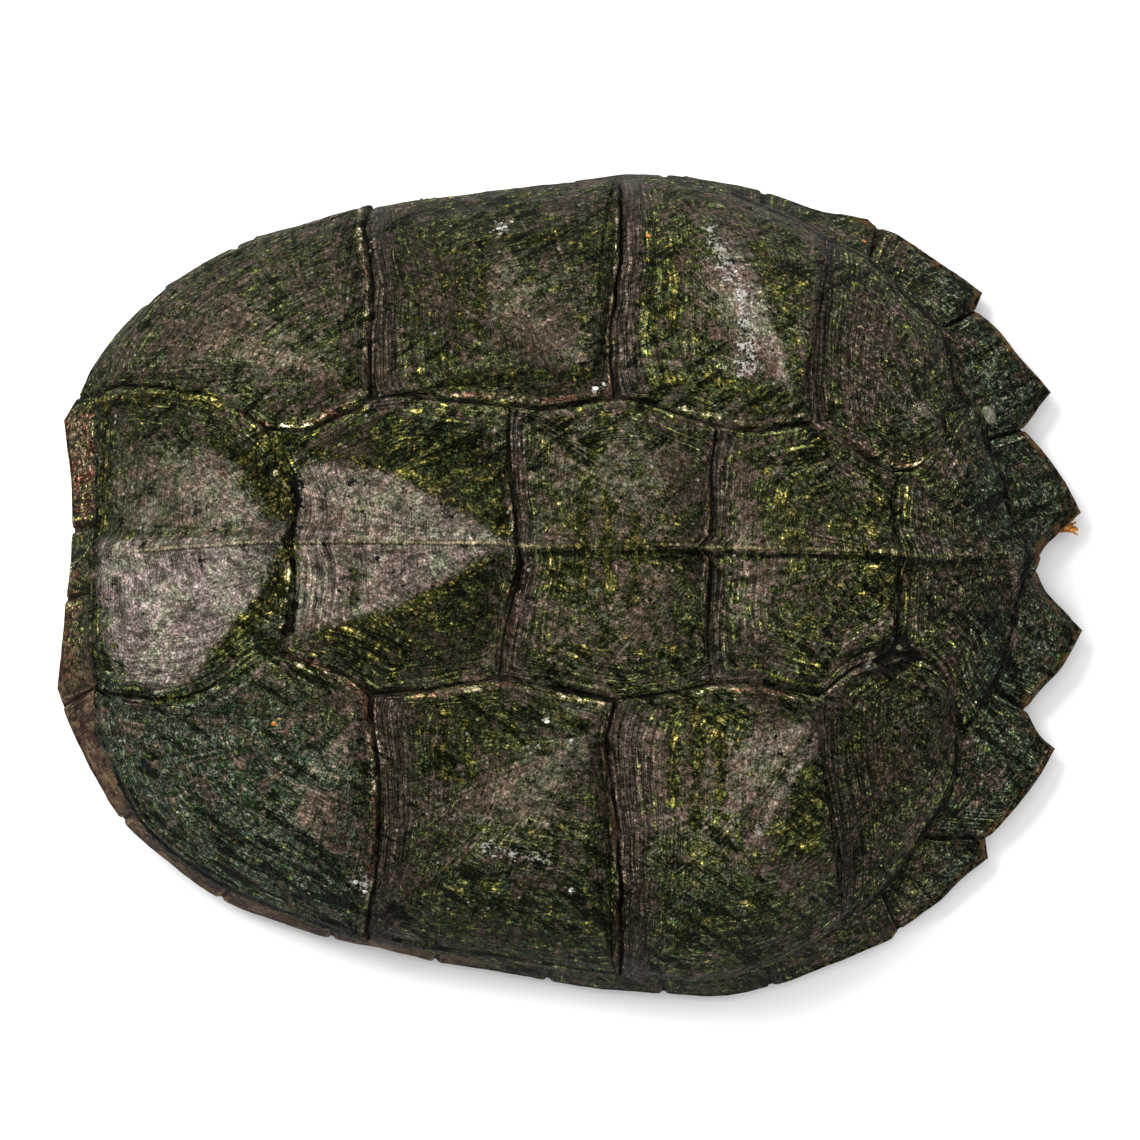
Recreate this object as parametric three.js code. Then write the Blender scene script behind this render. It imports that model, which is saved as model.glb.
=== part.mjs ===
// The upper shell of a common snapping turtle, in millimetres. The tail end points to +X, the animal's right
// side to +Y, and the side rims rest on z = 0. It is one grown piece: a hollow dome whose outside is divided
// into scutes, each a low tiled cone of growth ridges that rises to its oldest point near its rear corner.
import * as THREE from "three";

// Sizes of the whole shell.
const DOME_HEIGHT = 90; // top of the smooth dome, without the keel
const DOME_CENTRE_X = 15;
const SEAM_Z = 24; // height of the seam between costal and marginal scutes, at the sides
const SEAM_RISE_FRONT = 8;
const SEAM_RISE_REAR = 4;
const RIM_THICKNESS = 6;
const TOOTH_THICKNESS = 3.5;
const RIM_RISE_FRONT = 12; // how far the front and rear rims clear the ground
const RIM_RISE_REAR = 6;
const REST_X = [-55, 95]; // the side rims touch the ground between these
const REST_WIDTH = 8;
const WALL = 4;

// Relief of the scutes.
const STEP = 7.5; // spacing of points along a seam
const GROOVE = 1.1;
const EDGE_WIDTH = 1.8; // from the bottom of a seam to the scute's lip
const RIDGE = 0.7; // half the height of a growth ridge where the rings are wide apart
const RIDGE_RAY = 50; // how far from the oldest point a seam is there
const RING_LEVELS = [1, 0.88, 0.76, 0.63, 0.49, 0.34, 0.17];
const MARGINAL_LEVELS = [1, 0.6];
const KEEL_HEIGHT = 2.2;
const KEEL_WIDTH = 4.5;
const KNOB_HEIGHT = 2.5;
const KNOB_RADIUS = 7;

// The seam between the marginals and the rest, counterclockwise from the front right corner. A named point is
// where another seam meets it: m and a side and number is the rear seam of that marginal, e that of a costal.
const RING = [
  ["mr1", -143, 55], [-144, 40], ["mrc", -145, 14], ["k0", -146, 3], ["mlc", -146, -7], [-147, -22],
  ["ml1", -145, -36], [-145, -46], [-141, -58], ["ml2", -133, -75], [-126, -83], [-113, -93],
  ["ml3", -104, -98], [-90, -104], ["ml4", -73, -110], ["el1", -61, -113], [-50, -115],
  ["ml5", -40, -117], [-22, -119], ["ml6", -6, -122], ["el2", 15, -124], ["ml7", 28, -125], [45, -125],
  ["ml8", 60, -121], [72, -115], ["el3", 80, -109], ["ml9", 95, -99], ["ml10", 107, -83], [115, -71],
  [118, -61], ["el4", 119, -50], [124, -46], ["ml11", 129, -37], [134, -25], [137, -11], ["k5", 140, 3],
  [136, 15], [134, 25], ["mr11", 128, 40], [126, 48], ["er4", 119, 56], [118, 64], ["mr10", 114, 75],
  [103, 86], ["mr9", 93, 96], ["er3", 77, 104], [69, 109], ["mr8", 60, 113], [45, 119], ["mr7", 30, 122],
  ["er2", 15, 121], ["mr6", -4, 120], [-22, 118], ["mr5", -38, 116], ["er1", -61, 113],
  ["mr4", -71, 111], [-87, 106], ["mr3", -102, 100], [-115, 93], ["mr2", -128, 84], [-135, 75], [-140, 68],
];

// The outer edge, in the same direction. A name alone is a marginal's rear seam, "tip" is the point of a
// tooth, and both "notch" and a tip are sharp.
const RIM = [
  ["mr1 notch", -153, 55], ["tip", -158, 48], [-155, 30], ["mrc notch", -154, 13], [-155, 0],
  ["mlc", -156, -8], [-157, -22], ["tip", -159, -36], ["ml1", -157, -41], [-153, -50], [-147, -62],
  ["ml2", -138, -76], [-121, -91], ["ml3", -108, -100], [-90, -107], ["ml4", -74, -112], [-58, -115],
  ["ml5", -42, -119], [-24, -122], ["ml6", -7, -125], [12, -128], ["ml7", 29, -129], [45, -130],
  ["ml8", 62, -127], [80, -121], ["tip", 100, -113], ["ml9 notch", 102, -110], [115, -101], [121, -95],
  ["tip", 130, -88], ["ml10 notch", 129, -82], [137, -74], [145, -64], ["tip", 151, -54], [146, -50],
  ["ml11 notch", 141, -42], [148, -34], [153, -29], ["tip", 160, -17], [153, -11], [148, -6],
  ["k5 notch", 144, 3], [148, 10], [153, 14], ["tip", 160, 20], [153, 32], [147, 40],
  ["mr11 notch", 141, 46], ["tip", 151, 58], [141, 69], [135, 77], ["mr10 notch", 127, 84],
  ["tip", 130, 90], [117, 99], [106, 107], ["mr9 notch", 97, 111], ["tip", 94, 114], [79, 116],
  ["mr8", 61, 122], [46, 125], ["mr7", 30, 127], [14, 127], ["mr6", -5, 123], [-22, 120],
  ["mr5", -39, 118], [-56, 116], ["mr4", -73, 113], [-89, 109], ["mr3", -105, 103], [-118, 95],
  ["mr2", -131, 85], [-140, 76], [-148, 65],
];

// Where the inner seams meet: r and l are the right and left corners between two vertebral scutes, c and a
// side the inner end of the seam between two costals, k the keel's crossing.
const CORNERS = {
  k1: [-84, 3], k2: [-16, 1], k3: [37, 0], k4: [98, -1],
  r1: [-91, 38], cr1: [-59, 46], r2: [-18, 43], cr2: [13, 45], r3: [43, 37], cr3: [72, 39], r4: [97, 26],
  l1: [-86, -30], cl1: [-59, -43], l2: [-21, -38], cl2: [13, -45], l3: [41, -40], cl3: [74, -43],
  l4: [97, -29],
};

// The inner seams: two ends and the bends between them.
const SEAMS = [
  ["mr1", "r1", [-127, 54], [-107, 49], [-98, 43]],
  ["ml1", "l1", [-137, -40], [-118, -42], [-106, -38], [-95, -30]],
  ["k1", "r1", [-82, 15], [-88, 29]],
  ["k1", "l1", [-82, -6], [-84, -20]],
  ["r1", "cr1", [-80, 37], [-67, 42]],
  ["l1", "cl1", [-77, -33], [-66, -37]],
  ["er1", "cr1", [-60, 84], [-60, 66]],
  ["el1", "cl1", [-58, -91], [-57, -66]],
  ["cr1", "r2", [-51, 47], [-35, 45]],
  ["cl1", "l2", [-45, -42], [-30, -40]],
  ["k2", "r2", [-16, 9], [-18, 27]],
  ["k2", "l2", [-15, -5], [-19, -24]],
  ["r2", "cr2", [-6, 42]],
  ["l2", "cl2", [-12, -40], [2, -43]],
  ["er2", "cr2", [15, 92], [12, 64]],
  ["el2", "cl2", [15, -95], [11, -58]],
  ["cr2", "r3", [28, 42]],
  ["cl2", "l3", [28, -43]],
  ["k3", "r3", [41, 4], [42, 24]],
  ["k3", "l3", [41, -4], [40, -26]],
  ["r3", "cr3", [56, 36]],
  ["l3", "cl3", [54, -40]],
  ["er3", "cr3", [75, 82], [72, 55]],
  ["el3", "cl3", [80, -85], [75, -62]],
  ["cr3", "r4", [84, 32]],
  ["cl3", "l4", [82, -36]],
  ["k4", "r4", [96, 13]],
  ["k4", "l4", [98, -14]],
  ["r4", "er4", [105, 28], [112, 38], [114, 46]],
  ["l4", "el4", [106, -30], [113, -36], [116, -44]],
];

// Each scute of the dome: its corners counterclockwise, each with the lip's height along the seam that starts
// there, then its oldest point and the height of the cone that rises to it.
const LOW = 0.2;
const TILE = 2.4; // a lip that stands over the next scute
const SIDE = 0.9;
const SCUTES = [
  [["mr1", SIDE], ["ml1", LOW], ["l1", TILE], ["k1", TILE], ["r1", LOW], [-88, 5], 3.5],
  [["r1", LOW], ["k1", LOW], ["l1", LOW], ["cl1", LOW], ["l2", TILE], ["k2", TILE], ["r2", LOW],
    ["cr1", LOW], [-21, 1], 4.2],
  [["r2", LOW], ["k2", LOW], ["l2", LOW], ["cl2", LOW], ["l3", TILE], ["k3", TILE], ["r3", LOW],
    ["cr2", LOW], [33, 0], 4],
  [["r3", LOW], ["k3", LOW], ["l3", LOW], ["cl3", LOW], ["l4", TILE], ["k4", TILE], ["r4", LOW],
    ["cr3", LOW], [93, 0], 4],
  [["r4", LOW], ["k4", LOW], ["l4", LOW], ["el4", SIDE], ["er4", LOW], [134, 3], 3.5],
  [["er1", SIDE], ["mr1", SIDE], ["r1", TILE], ["cr1", TILE], [-65, 52], 4.5],
  [["er2", SIDE], ["er1", LOW], ["cr1", TILE], ["r2", TILE], ["cr2", TILE], [7, 51], 5],
  [["er3", SIDE], ["er2", LOW], ["cr2", TILE], ["r3", TILE], ["cr3", TILE], [66, 46], 5],
  [["er4", SIDE], ["er3", LOW], ["cr3", TILE], ["r4", TILE], [107, 38], 4],
  [["ml1", SIDE], ["el1", TILE], ["cl1", TILE], ["l1", SIDE], [-65, -50], 4.5],
  [["el1", SIDE], ["el2", TILE], ["cl2", TILE], ["l2", TILE], ["cl1", LOW], [5, -54], 5],
  [["el2", SIDE], ["el3", TILE], ["cl3", TILE], ["l3", TILE], ["cl2", LOW], [69, -50], 5],
  [["el3", SIDE], ["el4", TILE], ["l4", TILE], ["cl3", LOW], [108, -41], 4],
];

const mix = THREE.MathUtils.lerp;
const smooth = THREE.MathUtils.smoothstep;

// A smooth curve through points from a to b, as straight pieces no longer than STEP. Ends of a stretch where
// sharp is set turn a corner.
function stretch(before, points, after, sharpStart, sharpEnd) {
  const all = [sharpStart ? null : before, ...points, sharpEnd ? null : after];
  const slope = (i) => {
    const back = all[i - 1] ?? all[i];
    const ahead = all[i + 1] ?? all[i];
    return ahead.clone().sub(back).multiplyScalar(all[i - 1] && all[i + 1] ? 0.5 : 1);
  };
  const made = [];
  for (let i = 1; i < all.length - 2; i++) {
    const [p, q] = [all[i], all[i + 1]];
    const chord = p.distanceTo(q);
    const [u, v] = [slope(i).setLength(chord), slope(i + 1).setLength(chord)];
    const count = Math.max(1, Math.round(chord / STEP));
    for (let k = 0; k < count; k++) {
      const t = k / count;
      const point = p.clone().multiplyScalar(2 * t ** 3 - 3 * t ** 2 + 1);
      point.addScaledVector(u, t ** 3 - 2 * t ** 2 + t);
      point.addScaledVector(q, 3 * t ** 2 - 2 * t ** 3);
      point.addScaledVector(v, t ** 3 - t ** 2);
      made.push(point);
    }
  }
  return made;
}

// A closed outline of rows, each a name or not and x and y, as points that carry those names.
function outline(rows) {
  const marks = rows.map((row) => (row.length === 3 ? row[0] : ""));
  const points = rows.map((row) => new THREE.Vector2(...row.slice(-2)));
  const at = (list, i) => list[(i + list.length) % list.length];
  const sharp = (i) => /notch|tip/.test(at(marks, i));
  return points.flatMap((point, i) => {
    const piece = stretch(
      at(points, i - 1),
      [point, at(points, i + 1)],
      at(points, i + 2),
      sharp(i),
      sharp(i + 1),
    );
    return piece.map((p, k) => ({ plan: p, mark: k ? "" : marks[i] }));
  });
}

const ring = outline(RING);
const rim = outline(RIM);

// How far the ring seam is from the dome's centre in direction (x, y).
function reach(x, y) {
  let far = 0;
  ring.forEach(({ plan: a }, i) => {
    const b = ring[(i + 1) % ring.length].plan;
    const [ax, bx] = [a.x - DOME_CENTRE_X, b.x - DOME_CENTRE_X];
    const across = x * (b.y - a.y) - y * (bx - ax);
    if (Math.abs(across) < 1e-9) return;
    const share = (y * ax - x * a.y) / across;
    if (share < -1e-6 || share > 1 + 1e-6) return;
    far = Math.max(far, x * mix(ax, bx, share) + y * mix(a.y, b.y, share));
  });
  return far;
}

function seamHeight(x) {
  const front = THREE.MathUtils.clamp((DOME_CENTRE_X - x) / 162, 0, 1);
  const rear = THREE.MathUtils.clamp((x - DOME_CENTRE_X) / 125, 0, 1);
  return SEAM_Z + SEAM_RISE_FRONT * front ** 2.5 + SEAM_RISE_REAR * rear ** 2;
}

// The dome is drawn flat first, so that its steep sides get as much room as its top: a flat point's distance
// from the centre is an angle of the dome's profile, which is blunt across the body and slacker along it.
function profile(x, y) {
  const far = reach(x, y);
  return { far, wide: 2 / (2.1 + 0.4 * y * y), tall: 2 * (0.8 - 0.18 * y * y) };
}

function flatten(plan) {
  const from = new THREE.Vector2(plan.x - DOME_CENTRE_X, plan.y);
  const distance = from.length();
  from.normalize();
  const { far, wide } = profile(from.x, from.y);
  const share = Math.min(1, distance / far) ** (1 / wide);
  return from.multiplyScalar((far * Math.asin(share)) / (Math.PI / 2));
}

function dome(flat, inset = 0) {
  const length = Math.max(flat.length(), 1e-6);
  const [x, y] = [flat.x / length, flat.y / length];
  const { far, wide, tall } = profile(x, y);
  const angle = Math.min(1, length / far) * (Math.PI / 2);
  const distance = (far - inset) * Math.sin(angle) ** wide;
  const foot = seamHeight(DOME_CENTRE_X + far * x) - inset;
  const height = mix(foot, DOME_HEIGHT - inset, Math.cos(angle) ** tall);
  return new THREE.Vector3(DOME_CENTRE_X + distance * x, distance * y, height);
}

// The direction out of a surface at a flat point.
function outward(surface, flat) {
  const near = 0.5;
  const along = [new THREE.Vector2(near, 0), new THREE.Vector2(0, near)].map((d) =>
    surface(flat.clone().add(d)).sub(surface(flat.clone().sub(d))),
  );
  return along[0].cross(along[1]).normalize();
}

const onKeel = (x) => 3 - 3 * smooth(x, -90, 0) + 3 * smooth(x, 100, 140);
const keel = ({ x, y }) => KEEL_HEIGHT * Math.exp(-(((y - onKeel(x)) / KEEL_WIDTH) ** 2));

// The skin: its points, each made once, and its faces.
const corners = [];
const faces = [];
function corner(point) {
  return corners.push(point) - 1;
}
function face(a, b, c) {
  faces.push([a, b, c]);
}
function joinLoops(outer, inner) {
  outer.forEach((a, i) => {
    const b = outer[(i + 1) % outer.length];
    const [c, d] = [inner[(i + 1) % inner.length], inner[i]];
    face(a, b, c);
    face(a, c, d);
  });
}
function closeLoop(loop, middle) {
  loop.forEach((a, i) => face(a, loop[(i + 1) % loop.length], middle));
}

// Points of the seams, shared by the scutes on both sides.
function seamPoint(flat) {
  const point = dome(flat);
  point.addScaledVector(outward(dome, flat), keel(point) - GROOVE);
  return { flat, index: corner(point) };
}

const knots = {};
const ringPoints = ring.map(({ plan, mark }) => {
  const point = dome(flatten(plan));
  const inwards = new THREE.Vector3(DOME_CENTRE_X - plan.x, -plan.y, 0).setLength(GROOVE);
  const made = { flat: flatten(plan), index: corner(point.add(inwards)) };
  if (mark) knots[mark] = made;
  return made;
});
const flatAt = (plan) => flatten(new THREE.Vector2(...plan));
for (const [name, plan] of Object.entries(CORNERS)) knots[name] = seamPoint(flatAt(plan));

const paths = new Map();
for (const [from, to, ...bends] of SEAMS) {
  const flats = [knots[from].flat, ...bends.map(flatAt), knots[to].flat];
  const made = stretch(null, flats, null, true, true).slice(1).map(seamPoint);
  const path = [knots[from], ...made, knots[to]];
  paths.set(from + to, path);
  paths.set(to + from, [...path].reverse());
}

// The points from one corner to the next, without the last.
function between(from, to) {
  const path = paths.get(from + to);
  if (path) return path.slice(0, -1);
  const start = ringPoints.indexOf(knots[from]);
  const count = (ringPoints.indexOf(knots[to]) - start + ringPoints.length) % ringPoints.length;
  return Array.from({ length: count }, (_, k) => ringPoints[(start + k) % ringPoints.length]);
}

// A scute is a web: rings that shrink from its border to its oldest point. The lip's height is averaged along
// the border, so that a corner turns softly.
function scute({ surface, border, lips, apex, cone, levels, extra, width = EDGE_WIDTH }) {
  const soft = lips.map((_, i) => {
    const near = [-1, 0, 0, 1].map((d) => lips[(i + d + lips.length) % lips.length]);
    return near.reduce((a, b) => a + b) / near.length;
  });
  const spokes = border.map(({ flat }, i) => {
    const ray = flat.clone().sub(apex);
    const [back, ahead] = [-1, 1].map((d) => border[(i + d + border.length) % border.length].flat);
    const side = ahead.clone().sub(back);
    const clear = Math.abs(ray.cross(side)) / side.length(); // from the oldest point to the border's own line
    return { ray, lip: 1 - Math.min(width / clear, 0.3) };
  });
  let outer = border.map(({ index }) => index);
  levels.forEach((level, k) => {
    const inner = spokes.map(({ ray, lip }, i) => {
      const share = level * lip;
      const point = apex.clone().addScaledVector(ray, share);
      const ridge = k && RIDGE * (k % 2 ? 1 : -1) * Math.min(1, ray.length() / RIDGE_RAY);
      const height = mix(cone, soft[i], share) + ridge + extra(surface(point));
      return corner(surface(point).addScaledVector(outward(surface, point), height));
    });
    joinLoops(outer, inner);
    outer = inner;
  });
  const top = surface(apex).addScaledVector(outward(surface, apex), cone + extra(surface(apex)));
  closeLoop(outer, corner(top));
}

for (const row of SCUTES) {
  const [names, [apexPlan, cone]] = [row.slice(0, -2), row.slice(-2)];
  const sides = names.map(([name, lip], i) => {
    const points = between(name, names[(i + 1) % names.length][0]);
    return { points, lips: points.map(() => lip) };
  });
  const apexPoint = new THREE.Vector2(...apexPlan);
  const knob = (p) => KNOB_HEIGHT * Math.exp(-apexPoint.distanceToSquared(p) / KNOB_RADIUS ** 2);
  scute({
    surface: dome,
    border: sides.flatMap(({ points }) => points),
    lips: sides.flatMap(({ lips }) => lips),
    apex: flatten(apexPoint),
    cone,
    levels: RING_LEVELS,
    extra: (p) => keel(p) + knob(p),
  });
}

// The rim: its upper edge, and how thick it is there.
const rimFoot = (x) => RIM_RISE_FRONT * smooth(-x, -REST_X[0], 155) + RIM_RISE_REAR * smooth(x, REST_X[1], 150);
const rimPoints = rim.map(({ plan, mark }) => {
  const thickness = mark.includes("tip") ? TOOTH_THICKNESS : RIM_THICKNESS;
  const point = new THREE.Vector3(plan.x, plan.y, rimFoot(plan.x) + thickness);
  return { plan, mark, point, index: corner(point) };
});

// One marginal scute between two of its seams, on a surface that runs from the ring seam to the rim.
const marginalEnds = ring.map(({ mark }) => mark).filter((mark) => /^m|^k5/.test(mark));
const rimEnd = (name) => rimPoints.findIndex(({ mark }) => mark.split(" ")[0] === name);
const slice = (list, start, end) => {
  const count = (end - start + list.length) % list.length;
  return Array.from({ length: count + 1 }, (_, k) => list[(start + k) % list.length]);
};
const along = (points, share) => {
  const place = THREE.MathUtils.clamp(share, 0, 1) * (points.length - 1);
  const i = Math.min(Math.floor(place), points.length - 2);
  return points[i].clone().lerp(points[i + 1], place - i);
};
const seamsDown = new Map();
function seamDown(name) {
  if (!seamsDown.has(name)) {
    const [top, foot] = [corners[knots[name].index], rimPoints[rimEnd(name)].point];
    const middle = top.clone().lerp(foot, 0.5);
    middle.z -= GROOVE / 2;
    seamsDown.set(name, corner(middle));
  }
  return seamsDown.get(name);
}
marginalEnds.forEach((from, i) => {
  const to = marginalEnds[(i + 1) % marginalEnds.length];
  const inner = slice(ringPoints, ringPoints.indexOf(knots[from]), ringPoints.indexOf(knots[to]));
  const outer = slice(rimPoints, rimEnd(from), rimEnd(to));
  const [tops, feet] = [inner.map(({ index }) => corners[index]), outer.map(({ point }) => point)];
  const wide = 30;
  const tall = 20;
  const surface = (flat) =>
    along(tops, flat.x / wide).lerp(along(feet, flat.x / wide), THREE.MathUtils.clamp(-flat.y / tall, 0, 1));
  const place = (x, y, index) => ({ flat: new THREE.Vector2(x * wide, -y * tall), index });
  const border = [
    ...inner.slice(1).reverse().map(({ index }, k) => place(1 - k / (inner.length - 1), 0, index)),
    place(0, 0, inner[0].index),
    place(0, 0.5, seamDown(from)),
    ...outer.map(({ index }, k) => place(k / (outer.length - 1), 1, index)),
    place(1, 0.5, seamDown(to)),
  ];
  const tip = outer.findIndex(({ mark }, k) => k && k < outer.length - 1 && mark === "tip");
  const reachOut = tip > 0 ? tip / (outer.length - 1) : 0.8;
  scute({
    surface,
    border,
    lips: border.map(() => SIDE),
    apex: new THREE.Vector2(reachOut * wide, -0.72 * tall),
    cone: 2,
    levels: MARGINAL_LEVELS,
    extra: () => 0,
    width: 2.2,
  });
});

// The underside: the rim's foot, the flat strip the shell rests on, and the hollow inside of the dome.
const towardsMiddle = (plan, by, z) => {
  const inwards = new THREE.Vector2(DOME_CENTRE_X - plan.x, -plan.y).setLength(by);
  return corner(new THREE.Vector3(plan.x + inwards.x, plan.y + inwards.y, z));
};
const foot = rimPoints.map(({ plan }) => towardsMiddle(plan, 1.2, rimFoot(plan.x)));
const strip = rimPoints.map(({ plan }) => towardsMiddle(plan, 1.2 + REST_WIDTH, rimFoot(plan.x)));
const under = [rimPoints.map(({ index }) => index), foot, strip].map((loop) => [...loop].reverse());
joinLoops(under[0], under[1]);
joinLoops(under[1], under[2]);

// Two loops with different numbers of points, joined in the order of their angles round the middle.
function zip(outer, inner) {
  const angle = (index) => Math.atan2(corners[index].y, corners[index].x - DOME_CENTRE_X);
  const ordered = (loop) => {
    const first = loop.reduce((best, index, i) => (angle(index) < angle(loop[best]) ? i : best), 0);
    return loop.map((_, i) => loop[(i + first) % loop.length]);
  };
  const [a, b] = [ordered(outer), ordered(inner)];
  const turned = (loop, i) => angle(loop[i % loop.length]) + (i >= loop.length ? 2 * Math.PI : 0);
  let [i, j] = [0, 0];
  while (i < a.length || j < b.length) {
    const advance = j >= b.length || (i < a.length && turned(a, i + 1) < turned(b, j + 1));
    const [p, q] = [a[i % a.length], b[j % b.length]];
    if (advance) face(a[++i % a.length], p, q);
    else face(p, q, b[++j % b.length]);
  }
}
function hollowLoop(count, share) {
  return Array.from({ length: count }, (_, i) => {
    const turn = ((i + 0.5) / count) * 2 * Math.PI;
    const [x, y] = [Math.cos(turn), Math.sin(turn)];
    const flat = new THREE.Vector2(x, y).multiplyScalar(reach(x, y) * share);
    return corner(dome(flat, WALL));
  });
}
const hollow = [[64, 1], [64, 0.9], [64, 0.78], [32, 0.62], [32, 0.44], [16, 0.24]];
let edge = strip;
for (const [count, share] of hollow) {
  const loop = hollowLoop(count, share);
  zip(edge, loop);
  edge = loop;
}
closeLoop(edge.reverse(), corner(new THREE.Vector3(DOME_CENTRE_X, 0, DOME_HEIGHT - WALL)));

const geometry = new THREE.BufferGeometry();
geometry.setAttribute("position", new THREE.Float32BufferAttribute(corners.flatMap((p) => [p.x, p.y, p.z]), 3));
geometry.setIndex(faces.flat());
geometry.computeVertexNormals();

const horn = new THREE.MeshStandardMaterial({ color: 0x3b3a2a, roughness: 0.72, metalness: 0 });
const carapace = new THREE.Mesh(geometry, horn);
carapace.name = "carapace";

const shell = new THREE.Group();
shell.add(carapace);
export default shell;
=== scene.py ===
"""The upper shell of a common snapping turtle, lying on its side rims.

The tail end points to +X and the animal's right side to +Y. Shapes are worked out in millimetres and set down
in metres. Every scute is a web of rings that shrink from its seams to its oldest point.
"""

import math

import bmesh
import bpy
import numpy as np
from mathutils import Matrix, Vector, noise
from mathutils.bvhtree import BVHTree


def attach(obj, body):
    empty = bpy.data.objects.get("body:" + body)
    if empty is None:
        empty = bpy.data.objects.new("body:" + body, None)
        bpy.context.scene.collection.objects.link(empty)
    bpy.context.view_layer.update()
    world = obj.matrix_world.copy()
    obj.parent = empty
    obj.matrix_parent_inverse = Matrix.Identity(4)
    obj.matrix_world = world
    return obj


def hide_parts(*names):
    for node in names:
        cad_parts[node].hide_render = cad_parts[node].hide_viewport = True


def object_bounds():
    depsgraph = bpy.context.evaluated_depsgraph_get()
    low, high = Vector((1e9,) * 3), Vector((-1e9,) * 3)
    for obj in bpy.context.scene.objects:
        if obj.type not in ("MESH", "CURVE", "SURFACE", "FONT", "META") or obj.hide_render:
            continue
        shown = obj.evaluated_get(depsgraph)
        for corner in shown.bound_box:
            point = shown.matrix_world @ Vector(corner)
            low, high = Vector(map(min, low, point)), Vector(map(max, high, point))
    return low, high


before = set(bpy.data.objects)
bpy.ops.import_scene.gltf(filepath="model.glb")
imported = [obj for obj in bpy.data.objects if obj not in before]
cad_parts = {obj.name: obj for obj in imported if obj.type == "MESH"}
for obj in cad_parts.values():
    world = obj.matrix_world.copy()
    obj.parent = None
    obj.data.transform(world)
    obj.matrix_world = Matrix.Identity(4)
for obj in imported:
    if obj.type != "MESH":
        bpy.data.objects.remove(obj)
solid_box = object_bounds()

MM = 0.001
noise.seed_set(1)  # without a seed, noise_vector takes one from the clock

# The smooth dome and the rim.
DOME_HEIGHT = 90
CENTRE = 15 + 0j
SEAM_Z = 24
SEAM_RISE_FRONT = 8
SEAM_RISE_REAR = 4
RIM_THICKNESS = 6
TOOTH_THICKNESS = 3.5
RIM_RISE_FRONT = 12
RIM_RISE_REAR = 6
REST_X = (-55, 95)
REST_WIDTH = 8
FRONT_REACH = 162  # from the dome's centre to the seam's foremost and rearmost places
REAR_REACH = 125

# The underside.
WALL = 4
FOOT_ROUNDING = 1.2
HOLLOW_ROWS = 32
SPINE_Y = 1
RIB_START = -90
RIB_SPACING = 25

# The relief of the scutes.
STEP = 2.35  # spacing of points along a seam
GROOVE = 1.1
EDGE_WIDTH = 1.8  # from the bottom of a seam to where the scute's own surface starts
MARGINAL_EDGE_WIDTH = 2.2
LONGEST_EDGE = 0.3  # an edge's largest share of the way to the oldest point
RIDGE = 0.75
MARGINAL_RIDGE = 0.25
RIDGES_FULL_AT = 45  # from the oldest point, nearer than which the ridges are lower
LIP_PROFILE = ((0, 0), (0.14, 0.5), (0.35, 0.88), (0.62, 1.0), (1, 1))
RINGS = 36
MARGINAL_RINGS = 8
KEEL_HEIGHT = 2.2
KEEL_WIDTH = 4.5
KEEL_BEND = 3  # how far both ends of the keel lie to the animal's right
KEEL_CREST_HEIGHT = 0.5
KEEL_CREST_WIDTH = 1.3
KNOB_HEIGHT = 2.5
KNOB_RADIUS = 7

# What each part of the skin is: a scute's own number, or one of these.
TURNED_UNDER, BARE_BONE, FIRST_MARGINAL = -0.5, -1, 20

# The seam inside the marginal scutes, and the rim: a name where a seam or a tooth is, x and y.
RING = [
    ("mr1", -143, 55), (-144, 40), ("mrc", -145, 14), ("k0", -146, 3), ("mlc", -146, -7), (-147, -22),
    ("ml1", -145, -36), (-145, -46), (-141, -58), ("ml2", -133, -75), (-126, -83), (-113, -93),
    ("ml3", -104, -98), (-90, -104), ("ml4", -73, -110), ("el1", -61, -113), (-50, -115),
    ("ml5", -40, -117), (-22, -119), ("ml6", -6, -122), ("el2", 15, -124), ("ml7", 28, -125), (45, -125),
    ("ml8", 60, -121), (72, -115), ("el3", 80, -109), ("ml9", 95, -99), ("ml10", 107, -83), (115, -71),
    (118, -61), ("el4", 119, -50), (124, -46), ("ml11", 129, -37), (134, -25), (137, -11), ("k5", 140, 3),
    (136, 15), (134, 25), ("mr11", 128, 40), (126, 48), ("er4", 119, 56), (118, 64), ("mr10", 114, 75),
    (103, 86), ("mr9", 93, 96), ("er3", 77, 104), (69, 109), ("mr8", 60, 113), (45, 119), ("mr7", 30, 122),
    ("er2", 15, 121), ("mr6", -4, 120), (-22, 118), ("mr5", -38, 116), ("er1", -61, 113),
    ("mr4", -71, 111), (-87, 106), ("mr3", -102, 100), (-115, 93), ("mr2", -128, 84), (-135, 75), (-140, 68),
]
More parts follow.
